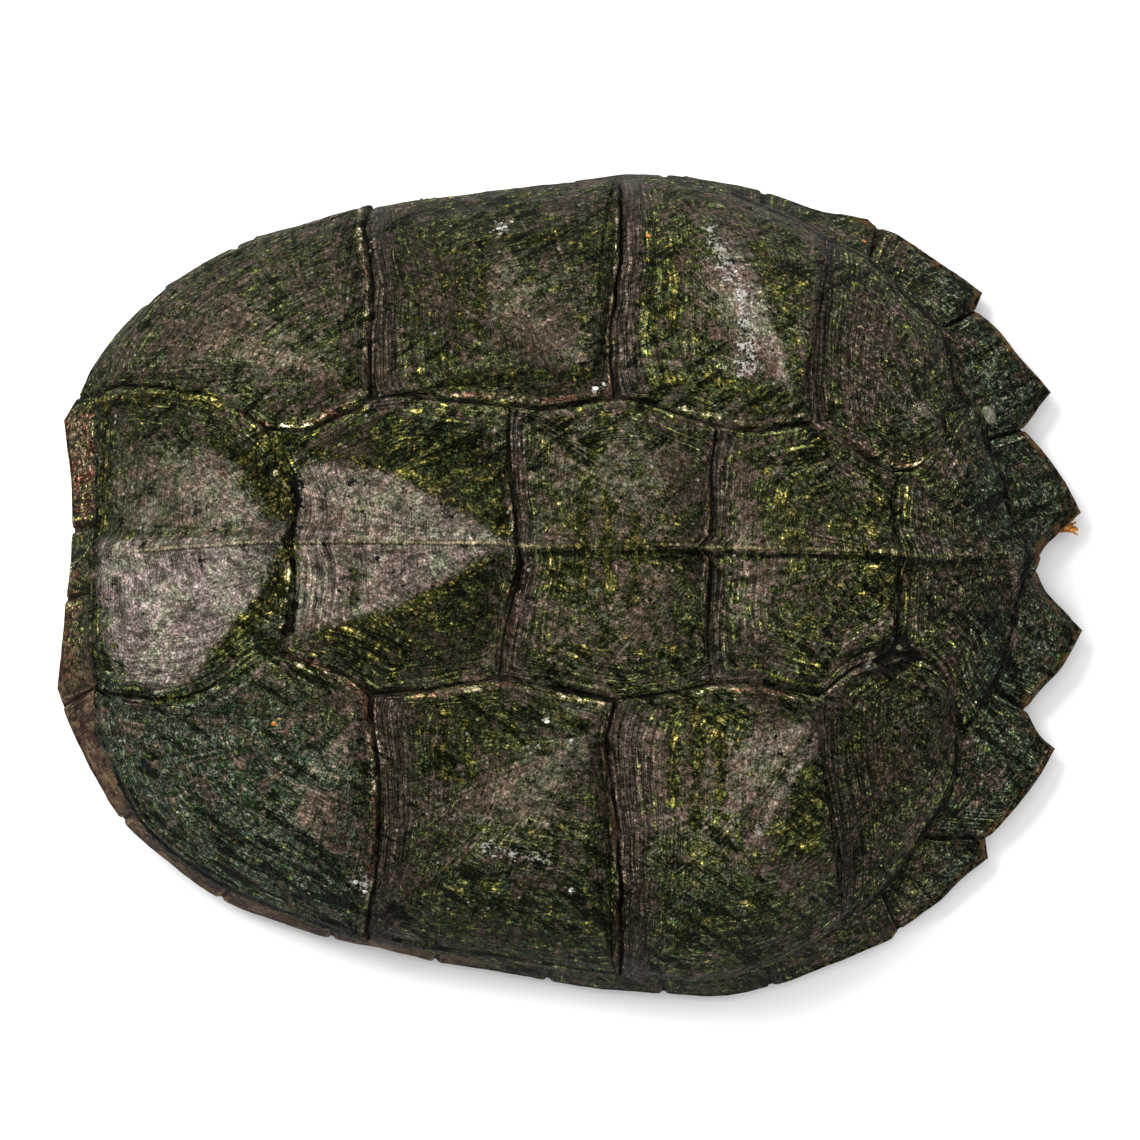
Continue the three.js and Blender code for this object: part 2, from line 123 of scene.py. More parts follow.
RIM = [
    ("mr1 notch", -153, 55), ("tip", -158, 48), (-155, 30), ("mrc notch", -154, 13), (-155, 0),
    ("mlc", -156, -8), (-157, -22), ("tip", -159, -36), ("ml1", -157, -41), (-153, -50), (-147, -62),
    ("ml2", -138, -76), (-121, -91), ("ml3", -108, -100), (-90, -107), ("ml4", -74, -112), (-58, -115),
    ("ml5", -42, -119), (-24, -122), ("ml6", -7, -125), (12, -128), ("ml7", 29, -129), (45, -130),
    ("ml8", 62, -127), (80, -121), ("tip", 100, -113), ("ml9 notch", 102, -110), (115, -101), (121, -95),
    ("tip", 130, -88), ("ml10 notch", 129, -82), (137, -74), (145, -64), ("tip", 151, -54), (146, -50),
    ("ml11 notch", 141, -42), (148, -34), (153, -29), ("tip", 160, -17), (153, -11), (148, -6),
    ("k5 notch", 144, 3), (148, 10), (153, 14), ("tip", 160, 20), (153, 32), (147, 40),
    ("mr11 notch", 141, 46), ("tip", 151, 58), (141, 69), (135, 77), ("mr10 notch", 127, 84),
    ("tip", 130, 90), (117, 99), (106, 107), ("mr9 notch", 97, 111), ("tip", 94, 114), (79, 116),
    ("mr8", 61, 122), (46, 125), ("mr7", 30, 127), (14, 127), ("mr6", -5, 123), (-22, 120),
    ("mr5", -39, 118), (-56, 116), ("mr4", -73, 113), (-89, 109), ("mr3", -105, 103), (-118, 95),
    ("mr2", -131, 85), (-140, 76), (-148, 65),
]
# Where the other seams meet, and the bends of each seam between two corners.
CORNERS = {
    "k1": (-84, 3), "k2": (-16, 1), "k3": (37, 0), "k4": (98, -1),
    "r1": (-91, 38), "cr1": (-59, 46), "r2": (-18, 43), "cr2": (13, 45), "r3": (43, 37), "cr3": (72, 39),
    "r4": (97, 26), "l1": (-86, -30), "cl1": (-59, -43), "l2": (-21, -38), "cl2": (13, -45),
    "l3": (41, -40), "cl3": (74, -43), "l4": (97, -29),
}
SEAMS = [
    ("mr1", "r1", (-127, 54), (-107, 49), (-98, 43)),
    ("ml1", "l1", (-137, -40), (-118, -42), (-106, -38), (-95, -30)),
    ("k1", "r1", (-82, 15), (-88, 29)),
    ("k1", "l1", (-82, -6), (-84, -20)),
    ("r1", "cr1", (-80, 37), (-67, 42)),
    ("l1", "cl1", (-77, -33), (-66, -37)),
    ("er1", "cr1", (-60, 84), (-60, 66)),
    ("el1", "cl1", (-58, -91), (-57, -66)),
    ("cr1", "r2", (-51, 47), (-35, 45)),
    ("cl1", "l2", (-45, -42), (-30, -40)),
    ("k2", "r2", (-16, 9), (-18, 27)),
    ("k2", "l2", (-15, -5), (-19, -24)),
    ("r2", "cr2", (-6, 42)),
    ("l2", "cl2", (-12, -40), (2, -43)),
    ("er2", "cr2", (15, 92), (12, 64)),
    ("el2", "cl2", (15, -95), (11, -58)),
    ("cr2", "r3", (28, 42)),
    ("cl2", "l3", (28, -43)),
    ("k3", "r3", (41, 4), (42, 24)),
    ("k3", "l3", (41, -4), (40, -26)),
    ("r3", "cr3", (56, 36)),
    ("l3", "cl3", (54, -40)),
    ("er3", "cr3", (75, 82), (72, 55)),
    ("el3", "cl3", (80, -85), (75, -62)),
    ("cr3", "r4", (84, 32)),
    ("cl3", "l4", (82, -36)),
    ("k4", "r4", (96, 13)),
    ("k4", "l4", (98, -14)),
    ("r4", "er4", (105, 28), (112, 38), (114, 46)),
    ("l4", "el4", (106, -30), (113, -36), (116, -44)),
]
LOW, SIDE, TILE = 0.2, 0.9, 2.4  # how high a scute's lip stands, from each corner to the next
SCUTES = [  # corners and lips, oldest point, and its height
    ([("mr1", SIDE), ("ml1", LOW), ("l1", TILE), ("k1", TILE), ("r1", LOW)], (-88, 5), 3.5),
    ([("r1", LOW), ("k1", LOW), ("l1", LOW), ("cl1", LOW), ("l2", TILE), ("k2", TILE), ("r2", LOW),
      ("cr1", LOW)], (-21, 1), 4.2),
    ([("r2", LOW), ("k2", LOW), ("l2", LOW), ("cl2", LOW), ("l3", TILE), ("k3", TILE), ("r3", LOW),
      ("cr2", LOW)], (33, 0), 4),
    ([("r3", LOW), ("k3", LOW), ("l3", LOW), ("cl3", LOW), ("l4", TILE), ("k4", TILE), ("r4", LOW),
      ("cr3", LOW)], (93, 0), 4),
    ([("r4", LOW), ("k4", LOW), ("l4", LOW), ("el4", SIDE), ("er4", LOW)], (134, 3), 3.5),
    ([("er1", SIDE), ("mr1", SIDE), ("r1", TILE), ("cr1", TILE)], (-65, 52), 4.5),
    ([("er2", SIDE), ("er1", LOW), ("cr1", TILE), ("r2", TILE), ("cr2", TILE)], (7, 51), 5),
    ([("er3", SIDE), ("er2", LOW), ("cr2", TILE), ("r3", TILE), ("cr3", TILE)], (66, 46), 5),
    ([("er4", SIDE), ("er3", LOW), ("cr3", TILE), ("r4", TILE)], (107, 38), 4),
    ([("ml1", SIDE), ("el1", TILE), ("cl1", TILE), ("l1", SIDE)], (-65, -50), 4.5),
    ([("el1", SIDE), ("el2", TILE), ("cl2", TILE), ("l2", TILE), ("cl1", LOW)], (5, -54), 5),
    ([("el2", SIDE), ("el3", TILE), ("cl3", TILE), ("l3", TILE), ("cl2", LOW)], (69, -50), 5),
    ([("el3", SIDE), ("el4", TILE), ("l4", TILE), ("cl3", LOW)], (108, -41), 4),
]


# ---------------------------------------------------------------- curves in plan, as complex numbers

def mix(a, b, share):
    return a + (b - a) * share


def smoothstep(value, low, high):
    t = np.clip((value - low) / (high - low), 0, 1)
    return t * t * (3 - 2 * t)


def curve(before, points, after):
    """Points a STEP apart on a smooth curve through points. Before and after steer it, or are None."""
    run = [before, *points, after]

    def heading(i):
        back = run[i] if run[i - 1] is None else run[i - 1]
        ahead = run[i] if run[i + 1] is None else run[i + 1]
        return (ahead - back) / abs(ahead - back)

    made = []
    for i in range(1, len(run) - 2):
        start, end = run[i], run[i + 1]
        chord = abs(end - start)
        count = max(1, round(chord / STEP))
        t = np.arange(count) / count
        made.append(
            start * (2 * t**3 - 3 * t**2 + 1)
            + chord * heading(i) * (t**3 - 2 * t**2 + t)
            + end * (3 * t**2 - 2 * t**3)
            + chord * heading(i + 1) * (t**3 - t**2)
        )
    return np.concatenate(made)


def closed_outline(rows):
    """A closed list of places as one curve, and where its named places are on it."""
    places = [complex(*row[-2:]) for row in rows]
    names = [row[0] if len(row) == 3 else "" for row in rows]
    sharp = ["notch" in name or "tip" in name for name in names]
    count = len(rows)
    made, marks = [], []
    for i in range(count):
        ahead = (i + 1) % count
        if names[i]:
            marks.append((names[i], sum(len(piece) for piece in made)))
        before = None if sharp[i] else places[i - 1]
        after = None if sharp[ahead] else places[(i + 2) % count]
        made.append(curve(before, [places[i], places[ahead]], after))
    return np.concatenate(made), marks


ring, ring_marks = closed_outline(RING)
rim, rim_marks = closed_outline(RIM)
ring_start = dict(ring_marks)
rim_start = {name.split()[0]: index for name, index in rim_marks if name != "tip"}
rim_tips = np.array([rim[index] for name, index in rim_marks if name == "tip"])

ring_turn = np.angle(ring - CENTRE)
ring_order = np.argsort(ring_turn)
ring_turn = ring_turn[ring_order]
ring_reach = np.abs(ring - CENTRE)[ring_order]


# ---------------------------------------------------------------- the smooth dome

def profile(direction):
    """How far the ring seam is in a direction, and the two powers of the dome's curve there."""
    far = np.interp(np.angle(direction), ring_turn, ring_reach, period=2 * math.pi)
    across = direction.imag**2
    return far, 2 / (2.1 + 0.4 * across), 2 * (0.8 - 0.18 * across)


def flatten(plan):
    """Where a place in plan is on the dome drawn flat."""
    away = np.asarray(plan, complex) - CENTRE
    distance = np.maximum(np.abs(away), 1e-9)
    far, wide, _ = profile(away / distance)
    angle = np.arcsin(np.minimum(1, distance / far) ** (1 / wide))
    return away / distance * far * angle / (math.pi / 2)


def seam_height(x):
    front = np.clip((CENTRE.real - x) / FRONT_REACH, 0, 1)
    rear = np.clip((x - CENTRE.real) / REAR_REACH, 0, 1)
    return SEAM_Z + SEAM_RISE_FRONT * front**2.5 + SEAM_RISE_REAR * rear**2


def dome(flat, inset=0):
    """The smooth surface over places on the flat drawing, or the one an inset below it."""
    length = np.maximum(np.abs(flat), 1e-6)
    direction = flat / length
    far, wide, tall = profile(direction)
    angle = np.minimum(1, length / far) * (math.pi / 2)
    plan = CENTRE + direction * (far - inset) * np.sin(angle) ** wide
    foot = seam_height((CENTRE + far * direction).real) - inset
    height = mix(foot, DOME_HEIGHT - inset, np.maximum(np.cos(angle), 0) ** tall)
    return np.stack([plan.real, plan.imag, height], -1)


def outward(surface, flat, near=0.5):
    across = surface(flat + near) - surface(flat - near)
    along = surface(flat + 1j * near) - surface(flat - 1j * near)
    normal = np.cross(across, along)
    return normal / np.linalg.norm(normal, axis=-1, keepdims=True)


def keel(point):
    x, y = point[..., 0], point[..., 1]
    crest = KEEL_BEND - KEEL_BEND * smoothstep(x, -90, 0) + KEEL_BEND * smoothstep(x, 100, 140)
    broad = KEEL_HEIGHT * np.exp(-(((y - crest) / KEEL_WIDTH) ** 2))
    return broad + KEEL_CREST_HEIGHT * np.exp(-(((y - crest) / KEEL_CREST_WIDTH) ** 2))


# ---------------------------------------------------------------- seams shared by neighbouring scutes

def wavy(flats, strength=0.55):
    """A seam that wanders a little between its two ends."""
    share = np.arange(len(flats)) / (len(flats) - 1)
    sway = np.array([noise.noise_vector(Vector((z.real * 0.16, z.imag * 0.16, 3))) for z in flats])
    return flats + strength * np.minimum(1, 6 * share * (1 - share)) * (sway[:, 0] + 1j * sway[:, 1])


def seam_points(flats):
    points = dome(flats)
    return points + outward(dome, flats) * (keel(points) - GROOVE)[:, None]


ring_flats = flatten(ring)
ring_inwards = (CENTRE - ring) / np.abs(CENTRE - ring) * GROOVE
ring_points = dome(ring_flats) + np.stack([ring_inwards.real, ring_inwards.imag, 0 * ring_inwards.real], -1)
knots = {name: ring_flats[index] for name, index in ring_marks}
knots |= {name: complex(flatten(complex(*place))) for name, place in CORNERS.items()}

paths = {}
for start, end, *bends in SEAMS:
    flats = [knots[start], *(complex(flatten(complex(*bend))) for bend in bends), knots[end]]
    flats = wavy(np.append(curve(None, flats, None), knots[end]))
    points = seam_points(flats)
    for place, end_of_path in ((0, start), (-1, end)):
        if end_of_path in ring_start:
            points[place] = ring_points[ring_start[end_of_path]]
    paths[start, end] = flats, points
    paths[end, start] = flats[::-1], points[::-1]


def between(start, end):
    """The seam from one corner to the next, without its last point."""
    if (start, end) in paths:
        flats, points = paths[start, end]
        return flats[:-1], points[:-1]
    count = (ring_start[end] - ring_start[start]) % len(ring)
    chosen = (ring_start[start] + np.arange(count)) % len(ring)
    return ring_flats[chosen], ring_points[chosen]


# ---------------------------------------------------------------- the web of one scute

def softened(values, reach):
    """A closed list's running mean over reach neighbours on each side."""
    total = sum(np.roll(values, shift) for shift in range(-reach, reach + 1))
    return total / (2 * reach + 1)


def growth(share, seed):
    """Uneven growth ridges, about 1 high, from the oldest point at 0 to the lip at 1."""
    coarse = noise.noise(Vector((share * 9, seed * 7.3, 0)))
    fine = noise.noise(Vector((share * 24, seed * 3.1, 5)))
    return 1.1 * coarse + 0.9 * fine


def scute_web(surface, flats, points, lips, apex, cone, rings, extra, width, ridge, seed):
    """Rows of points from the seam to the oldest point, with each row's share of the way, depth and lip."""
    soft = softened(softened(lips, 4), 4)
    rays = flats - apex
    round_rays = softened(softened(rays, 5), 5)
    sides = np.roll(flats, -1) - np.roll(flats, 1)
    clear = softened(np.abs((rays.conj() * sides).imag) / np.abs(sides), 1)
    lip = np.minimum(width / clear, LONGEST_EDGE)
    strength = ridge * np.minimum(1, np.abs(rays) / RIDGES_FULL_AT)
    rows, shares, seams, edges = [points], [1.0], [1.0], [0.0]
    for part, rise in LIP_PROFILE[1:]:
        spot = apex + rays * (1 - part * lip)
        base = surface(spot)
        level = mix(-GROOVE, mix(cone, soft, 1 - part * lip), rise) + extra(base)
        rows.append(base + outward(surface, spot) * level[:, None])
        shares.append(1 - part * 0.02)
        seams.append(1 - rise)
        edges.append(1.0 if 0.2 < part < 1 else 0.3)
    for k in range(1, rings):
        level = 1 - k / rings
        spot = apex + mix(round_rays, rays, smoothstep(level, 0.35, 1)) * level * (1 - lip)
        base = surface(spot)
        height = mix(cone, soft, level) + strength * growth(level, seed) * smoothstep(level, 0, 0.2)
        rows.append(base + outward(surface, spot) * (height + extra(base))[:, None])
        shares.append(level * 0.98)
        seams.append(0.0)
        edges.append(0.0)
    tip = np.array([apex])
    top = surface(tip) + outward(surface, tip) * (cone + extra(surface(tip)))[:, None]
    rows.append(np.repeat(top, len(points), 0))
    return rows, [*shares, 0.0], [*seams, 0.0], np.outer([*edges, 0.0], np.clip(soft / TILE, 0.15, 1))


skin = bmesh.new()
uv_layer = skin.loops.layers.uv.new("growth")
seam_layer = skin.verts.layers.float.new("seam")
kind_layer = skin.verts.layers.float.new("kind")
lip_layer = skin.verts.layers.float.new("lip")


def sew(rows, shares, seams, lips, kind, material=0):
    """One closed band of rows as a grid, with its own unwrapping: along the seam, and out from the middle."""
    count = len(rows[0])
    grid = bmesh.ops.create_grid(skin, x_segments=count, y_segments=len(rows) - 1, size=1)["verts"]
    lengths = np.linalg.norm(np.diff(rows[0], axis=0, append=rows[0][:1]), axis=1)
    along = np.concatenate([[0], np.cumsum(lengths)]) * MM
    for k, row in enumerate(rows):
        for i in range(count + 1):
            vert = grid[k * (count + 1) + i]
            vert.co = Vector(row[i % count]) * MM
            vert[seam_layer] = seams[k]
            vert[kind_layer] = kind
            vert[lip_layer] = lips[k][i % count]
            for loop in vert.link_loops:
                loop[uv_layer].uv = (along[i] * 10, shares[k])
    for face in {face for vert in grid for face in vert.link_faces}:
        face.material_index = material
        face.smooth = True


for number, (names, apex, cone) in enumerate(SCUTES):
    parts = [between(name, names[(i + 1) % len(names)][0]) for i, (name, _) in enumerate(names)]
    lips = np.concatenate([np.full(len(part[0]), lip) for part, (_, lip) in zip(parts, names)])
    oldest = complex(*apex)

    def knob(base, oldest=oldest):
        away = (base[..., 0] - oldest.real) ** 2 + (base[..., 1] - oldest.imag) ** 2
        return keel(base) + KNOB_HEIGHT * np.exp(-away / KNOB_RADIUS**2)

    rows, shares, seams, edges = scute_web(
        dome, np.concatenate([part[0] for part in parts]), np.concatenate([part[1] for part in parts]), lips,
        complex(flatten(oldest)), cone, RINGS, knob, EDGE_WIDTH, RIDGE, number + 1,
    )
    sew(rows, shares, seams, edges, kind=number)


# ---------------------------------------------------------------- the rim and its marginal scutes

def rim_foot(x):
    front = smoothstep(-x, -REST_X[0], 155)
    return RIM_RISE_FRONT * front + RIM_RISE_REAR * smoothstep(x, REST_X[1], 150)


to_tip = np.abs(rim[:, None] - rim_tips[None]).min(1)
thickness = RIM_THICKNESS - (RIM_THICKNESS - TOOTH_THICKNESS) * np.exp(-((to_tip / 4) ** 2))
rim_points = np.stack([rim.real, rim.imag, rim_foot(rim.real) + thickness], -1)


def stations(points, share):
    """Places a share of the way along a row of points."""
    place = np.clip(share, 0, 1) * (len(points) - 1)
    return np.stack([np.interp(place, np.arange(len(points)), points[:, k]) for k in range(3)], -1)


def seam_down(name):
    """The seam between two marginals, from the ring to the rim."""
    top, foot = ring_points[ring_start[name]], rim_points[rim_start[name]]
    count = max(3, round(np.linalg.norm(foot - top) / STEP))
    share = np.linspace(0, 1, count + 1)
    points = mix(top, foot, share[:, None])
    points[:, 2] -= GROOVE * 0.6 * np.sin(math.pi * share)
    return share, points


def turn_of(points, start, end):
    count = (end - start) % len(points)
    return points[(start + np.arange(count + 1)) % len(points)]


WIDE, TALL = 30, 20  # a marginal scute's flat drawing
marginal_ends = [name for name, _ in ring_marks if name[0] == "m" or name == "k5"]
for number, name in enumerate(marginal_ends):
    ahead = marginal_ends[(number + 1) % len(marginal_ends)]
    tops = turn_of(ring_points, ring_start[name], ring_start[ahead])
    feet = turn_of(rim_points, rim_start[name], rim_start[ahead])
    (near_share, near_seam), (far_share, far_seam) = seam_down(name), seam_down(ahead)

    def slope(flat, tops=tops, feet=feet):
        across = flat.real / WIDE
        return mix(stations(tops, across), stations(feet, across), np.clip(-flat.imag / TALL, 0, 1)[..., None])

    top_share, foot_share = np.linspace(1, 0, len(tops)), np.linspace(0, 1, len(feet))
    flats = np.concatenate([
        top_share[:-1] * WIDE + 0j, -1j * TALL * near_share[:-1],
        foot_share[:-1] * WIDE - 1j * TALL, WIDE - 1j * TALL * far_share[:0:-1],
    ])
    points = np.concatenate([tops[:0:-1], near_seam[:-1], feet[:-1], far_seam[:0:-1]])
    sharpest = to_tip[(rim_start[name] + np.arange(len(feet))) % len(rim)][1:-1]
    out = (sharpest.argmin() + 1) / (len(feet) - 1) if len(sharpest) and sharpest.min() < 0.1 else 0.8
    rows, shares, seams, edges = scute_web(
        slope, flats, points, np.full(len(points), SIDE), out * WIDE - 0.72j * TALL, 2.0, MARGINAL_RINGS,
        lambda base: 0 * base[..., 0], MARGINAL_EDGE_WIDTH, MARGINAL_RIDGE, FIRST_MARGINAL + number + 1,
    )
    sew(rows, shares, seams, edges, kind=FIRST_MARGINAL + number)


# ---------------------------------------------------------------- the underside

def underside():
    """Rows from the rim's upper edge round its foot, over the strip it rests on and up into the hollow."""
    inwards = (CENTRE - rim) / np.abs(CENTRE - rim)
    foot = rim_foot(rim.real)
    rows = [rim_points]
    rounding = [(0.35, 0.1), (0.7, 0.35), (0.92, 0.75), (1, FOOT_ROUNDING)]
    strip = [(1, FOOT_ROUNDING + REST_WIDTH / 2), (1, FOOT_ROUNDING + REST_WIDTH)]
    for drop, by in rounding + strip:
        plan = rim + inwards * by
        rows.append(np.stack([plan.real, plan.imag, mix(rim_points[:, 2], foot, drop)], -1))
    far = profile(-inwards)[0]
    for share in np.linspace(1, 0.04, HOLLOW_ROWS):
        rows.append(dome(-inwards * far * share, WALL))
    top = dome(np.array([0j]), WALL)
    return [*rows, np.repeat(top, len(rim), 0)]


rows = underside()
bare = np.zeros((len(rows), len(rim)))
horn_rows = 7  # the horn turns under the rim as far as the strip it rests on
sew(rows[:horn_rows], np.linspace(1, 0.8, horn_rows), bare[:, 0], bare, TURNED_UNDER)
sew(rows[horn_rows - 1:], np.linspace(1, 0, len(rows) - horn_rows + 1), bare[:, 0], bare, BARE_BONE, material=1)

bmesh.ops.remove_doubles(skin, verts=skin.verts, dist=1e-6)
bmesh.ops.recalc_face_normals(skin, faces=skin.faces)


def piece_from(name, shape):
    """A finished bmesh as an object of the scene."""
    mesh = bpy.data.meshes.new(name)
    shape.to_mesh(mesh)
    shape.free()
    piece = bpy.data.objects.new(name, mesh)
    bpy.context.collection.objects.link(piece)
    return piece


shell = piece_from("carapace_skin", skin)
shell_mesh = shell.data


# ---------------------------------------------------------------- where each wear, growth, painted shadow and painted highlight is, in millimetres

count = len(shell_mesh.vertices)


def read(rows, name, width):
    values = np.empty(count * width)
    rows.foreach_get(name, values)
    return values.reshape(-1, width) if width > 1 else values


place = read(shell_mesh.vertices, "co", 3) / MM
normals = read(shell_mesh.vertices, "normal", 3)
kind = read(shell_mesh.attributes["kind"].data, "value", 1)
seam_part = read(shell_mesh.attributes["seam"].data, "value", 1)
outside = kind >= 0
plan = place[:, 0] + 1j * place[:, 1]


def distance_to(path, closed=False):
    """How far each vertex is, in plan, from a path."""
    path = np.array([complex(*p) for p in path])
    ends = np.roll(path, -1) if closed else path[1:]
    best = np.full(count, 1e9)
    for a, b in zip(path, ends):
        along = np.clip(((plan - a) * (b - a).conjugate()).real / abs(b - a) ** 2, 0, 1)
        best = np.minimum(best, np.abs(plan - a - along * (b - a)))
    return best


def patch(*corners, soft=3.0):
    """1 inside a closed outline and 0 outside, with an edge as wide as soft."""
    path = np.array([complex(*p) for p in corners])
    crossings = np.zeros(count, int)
    for a, b in zip(path, np.roll(path, -1)):
        if a.imag == b.imag:
            continue
        level = (plan.imag - a.imag) / (b.imag - a.imag)
        hit = (level >= 0) & (level < 1) & (a.real + level * (b.real - a.real) > plan.real)
        crossings += hit
    signed = np.where(crossings % 2 == 1, 1, -1) * distance_to(corners, closed=True)
    return smoothstep(signed, -soft / 2, soft / 2)


def line(*path, width=2.0):
    return np.exp(-((distance_to(path) / width) ** 2))


def spot(x, y, radius):
    return np.exp(-np.abs(plan - complex(x, y)) ** 2 / radius**2)


def fan(x, y, heading, spread, reach):
    """A sector that opens from an oldest point, with soft edges, in degrees and millimetres."""
    away = plan - complex(x, y)
    turned = np.degrees(np.angle(away * np.exp(-1j * math.radians(heading))))
    return np.exp(-((turned / spread) ** 2)) * (1 - smoothstep(np.abs(away), reach * 0.4, reach))


def most(*masks):
    return np.maximum.reduce(masks)


def lines(*rows):
    """The strongest of several lines, each a strength, a width and its points."""
    return most(*(strength * line(*path, width=width) for strength, width, *path in rows))


def patches(*rows):
    """The strongest of several patches, each a strength, the width of its edge and its corners."""
    return most(*(strength * patch(*corners, soft=soft) for strength, soft, *corners in rows))


def fans(*rows):
    return most(*(strength * fan(*sector) for strength, *sector in rows))


def spots(*rows):
    return most(*(strength * spot(*middle_and_radius) for strength, *middle_and_radius in rows))


v1_plate = patch((-143, 7), (-112, 5), (-86, 3), (-90, -8), (-99, -18), (-107, -28), (-110, -33), (-124, -39),
                 (-136, -36), (-141, -23), (-144, -10), soft=6)
v2_plate = patch((-82, 25), (-67, 29), (-51, 22), (-39, 15), (-19, 2), (-36, -9), (-50, -16), (-67, -22),
                 (-82, -25), soft=5)
torn = patch((84, -30), (92, -26), (101, -23), (106, -29), (100, -35), (88, -37), soft=3)

rear_ring = [(z.real, z.imag) for z in ring if z.real > 84 or (z.real > 50 and z.imag > 0)]
left_ring = [(z.real, z.imag) for z in ring if z.real < -20 and z.imag < -30]

# Where the horn is lighter or darker as a whole: strength and corners.
LIGHTER_OR_DARKER = [
    (-0.30, (-78, -26), (-50, -20), (-22, -6), (-20, -26), (-34, -38), (-60, -40)),
    (-0.22, (-75, 33), (-50, 26), (-20, 7), (-18, 24), (-30, 38), (-56, 44)),
    (-0.16, (-58, 110), (-58, 50), (-20, 48), (10, 48), (13, 118)),
    (-0.11, (-140, 72), (-100, 46), (-62, 48), (-62, 110), (-110, 100)),
    (-0.09, (-56, -112), (-56, -46), (12, -48), (14, -122)),
    (-0.28, (82, -105), (78, -44), (98, -32), (116, -50)),
    (-0.10, (78, 105), (74, 42), (98, 28), (114, 44)),
    (-0.11, (-14, 40), (40, 38), (40, -38), (-14, -40)),
    (-0.18, (98, 26), (136, 20), (138, -18), (98, -26)),
    (-0.14, (-142, 50), (-96, 44), (-84, 8), (-142, 8)),
    (-0.17, (-144, 46), (-120, 44), (-117, 7), (-144, 7)),
    (0.12, (-113, 36), (-94, 20), (-88, 6), (-114, 6)),
    (0.05, (42, 32), (42, -34), (96, -26), (96, 22)),
    (0.14, (17, 116), (16, 50), (68, 44), (74, 100)),
    (0.13, (17, -118), (14, -50), (70, -48), (76, -104)),
    (0.14, (-140, -50), (-62, -46), (-62, -112), (-110, -100)),
    (0.20, (96, -115), (168, -98), (168, 0), (142, 0), (120, -50)),
    (0.04, (100, 112), (168, 95), (168, 4), (142, 4), (122, 52)),
    (0.17, (-143, 2), (-86, 2), (-110, -34), (-138, -36)),
    (0.04, (-80, 24), (-20, 1), (-80, -24)),
]

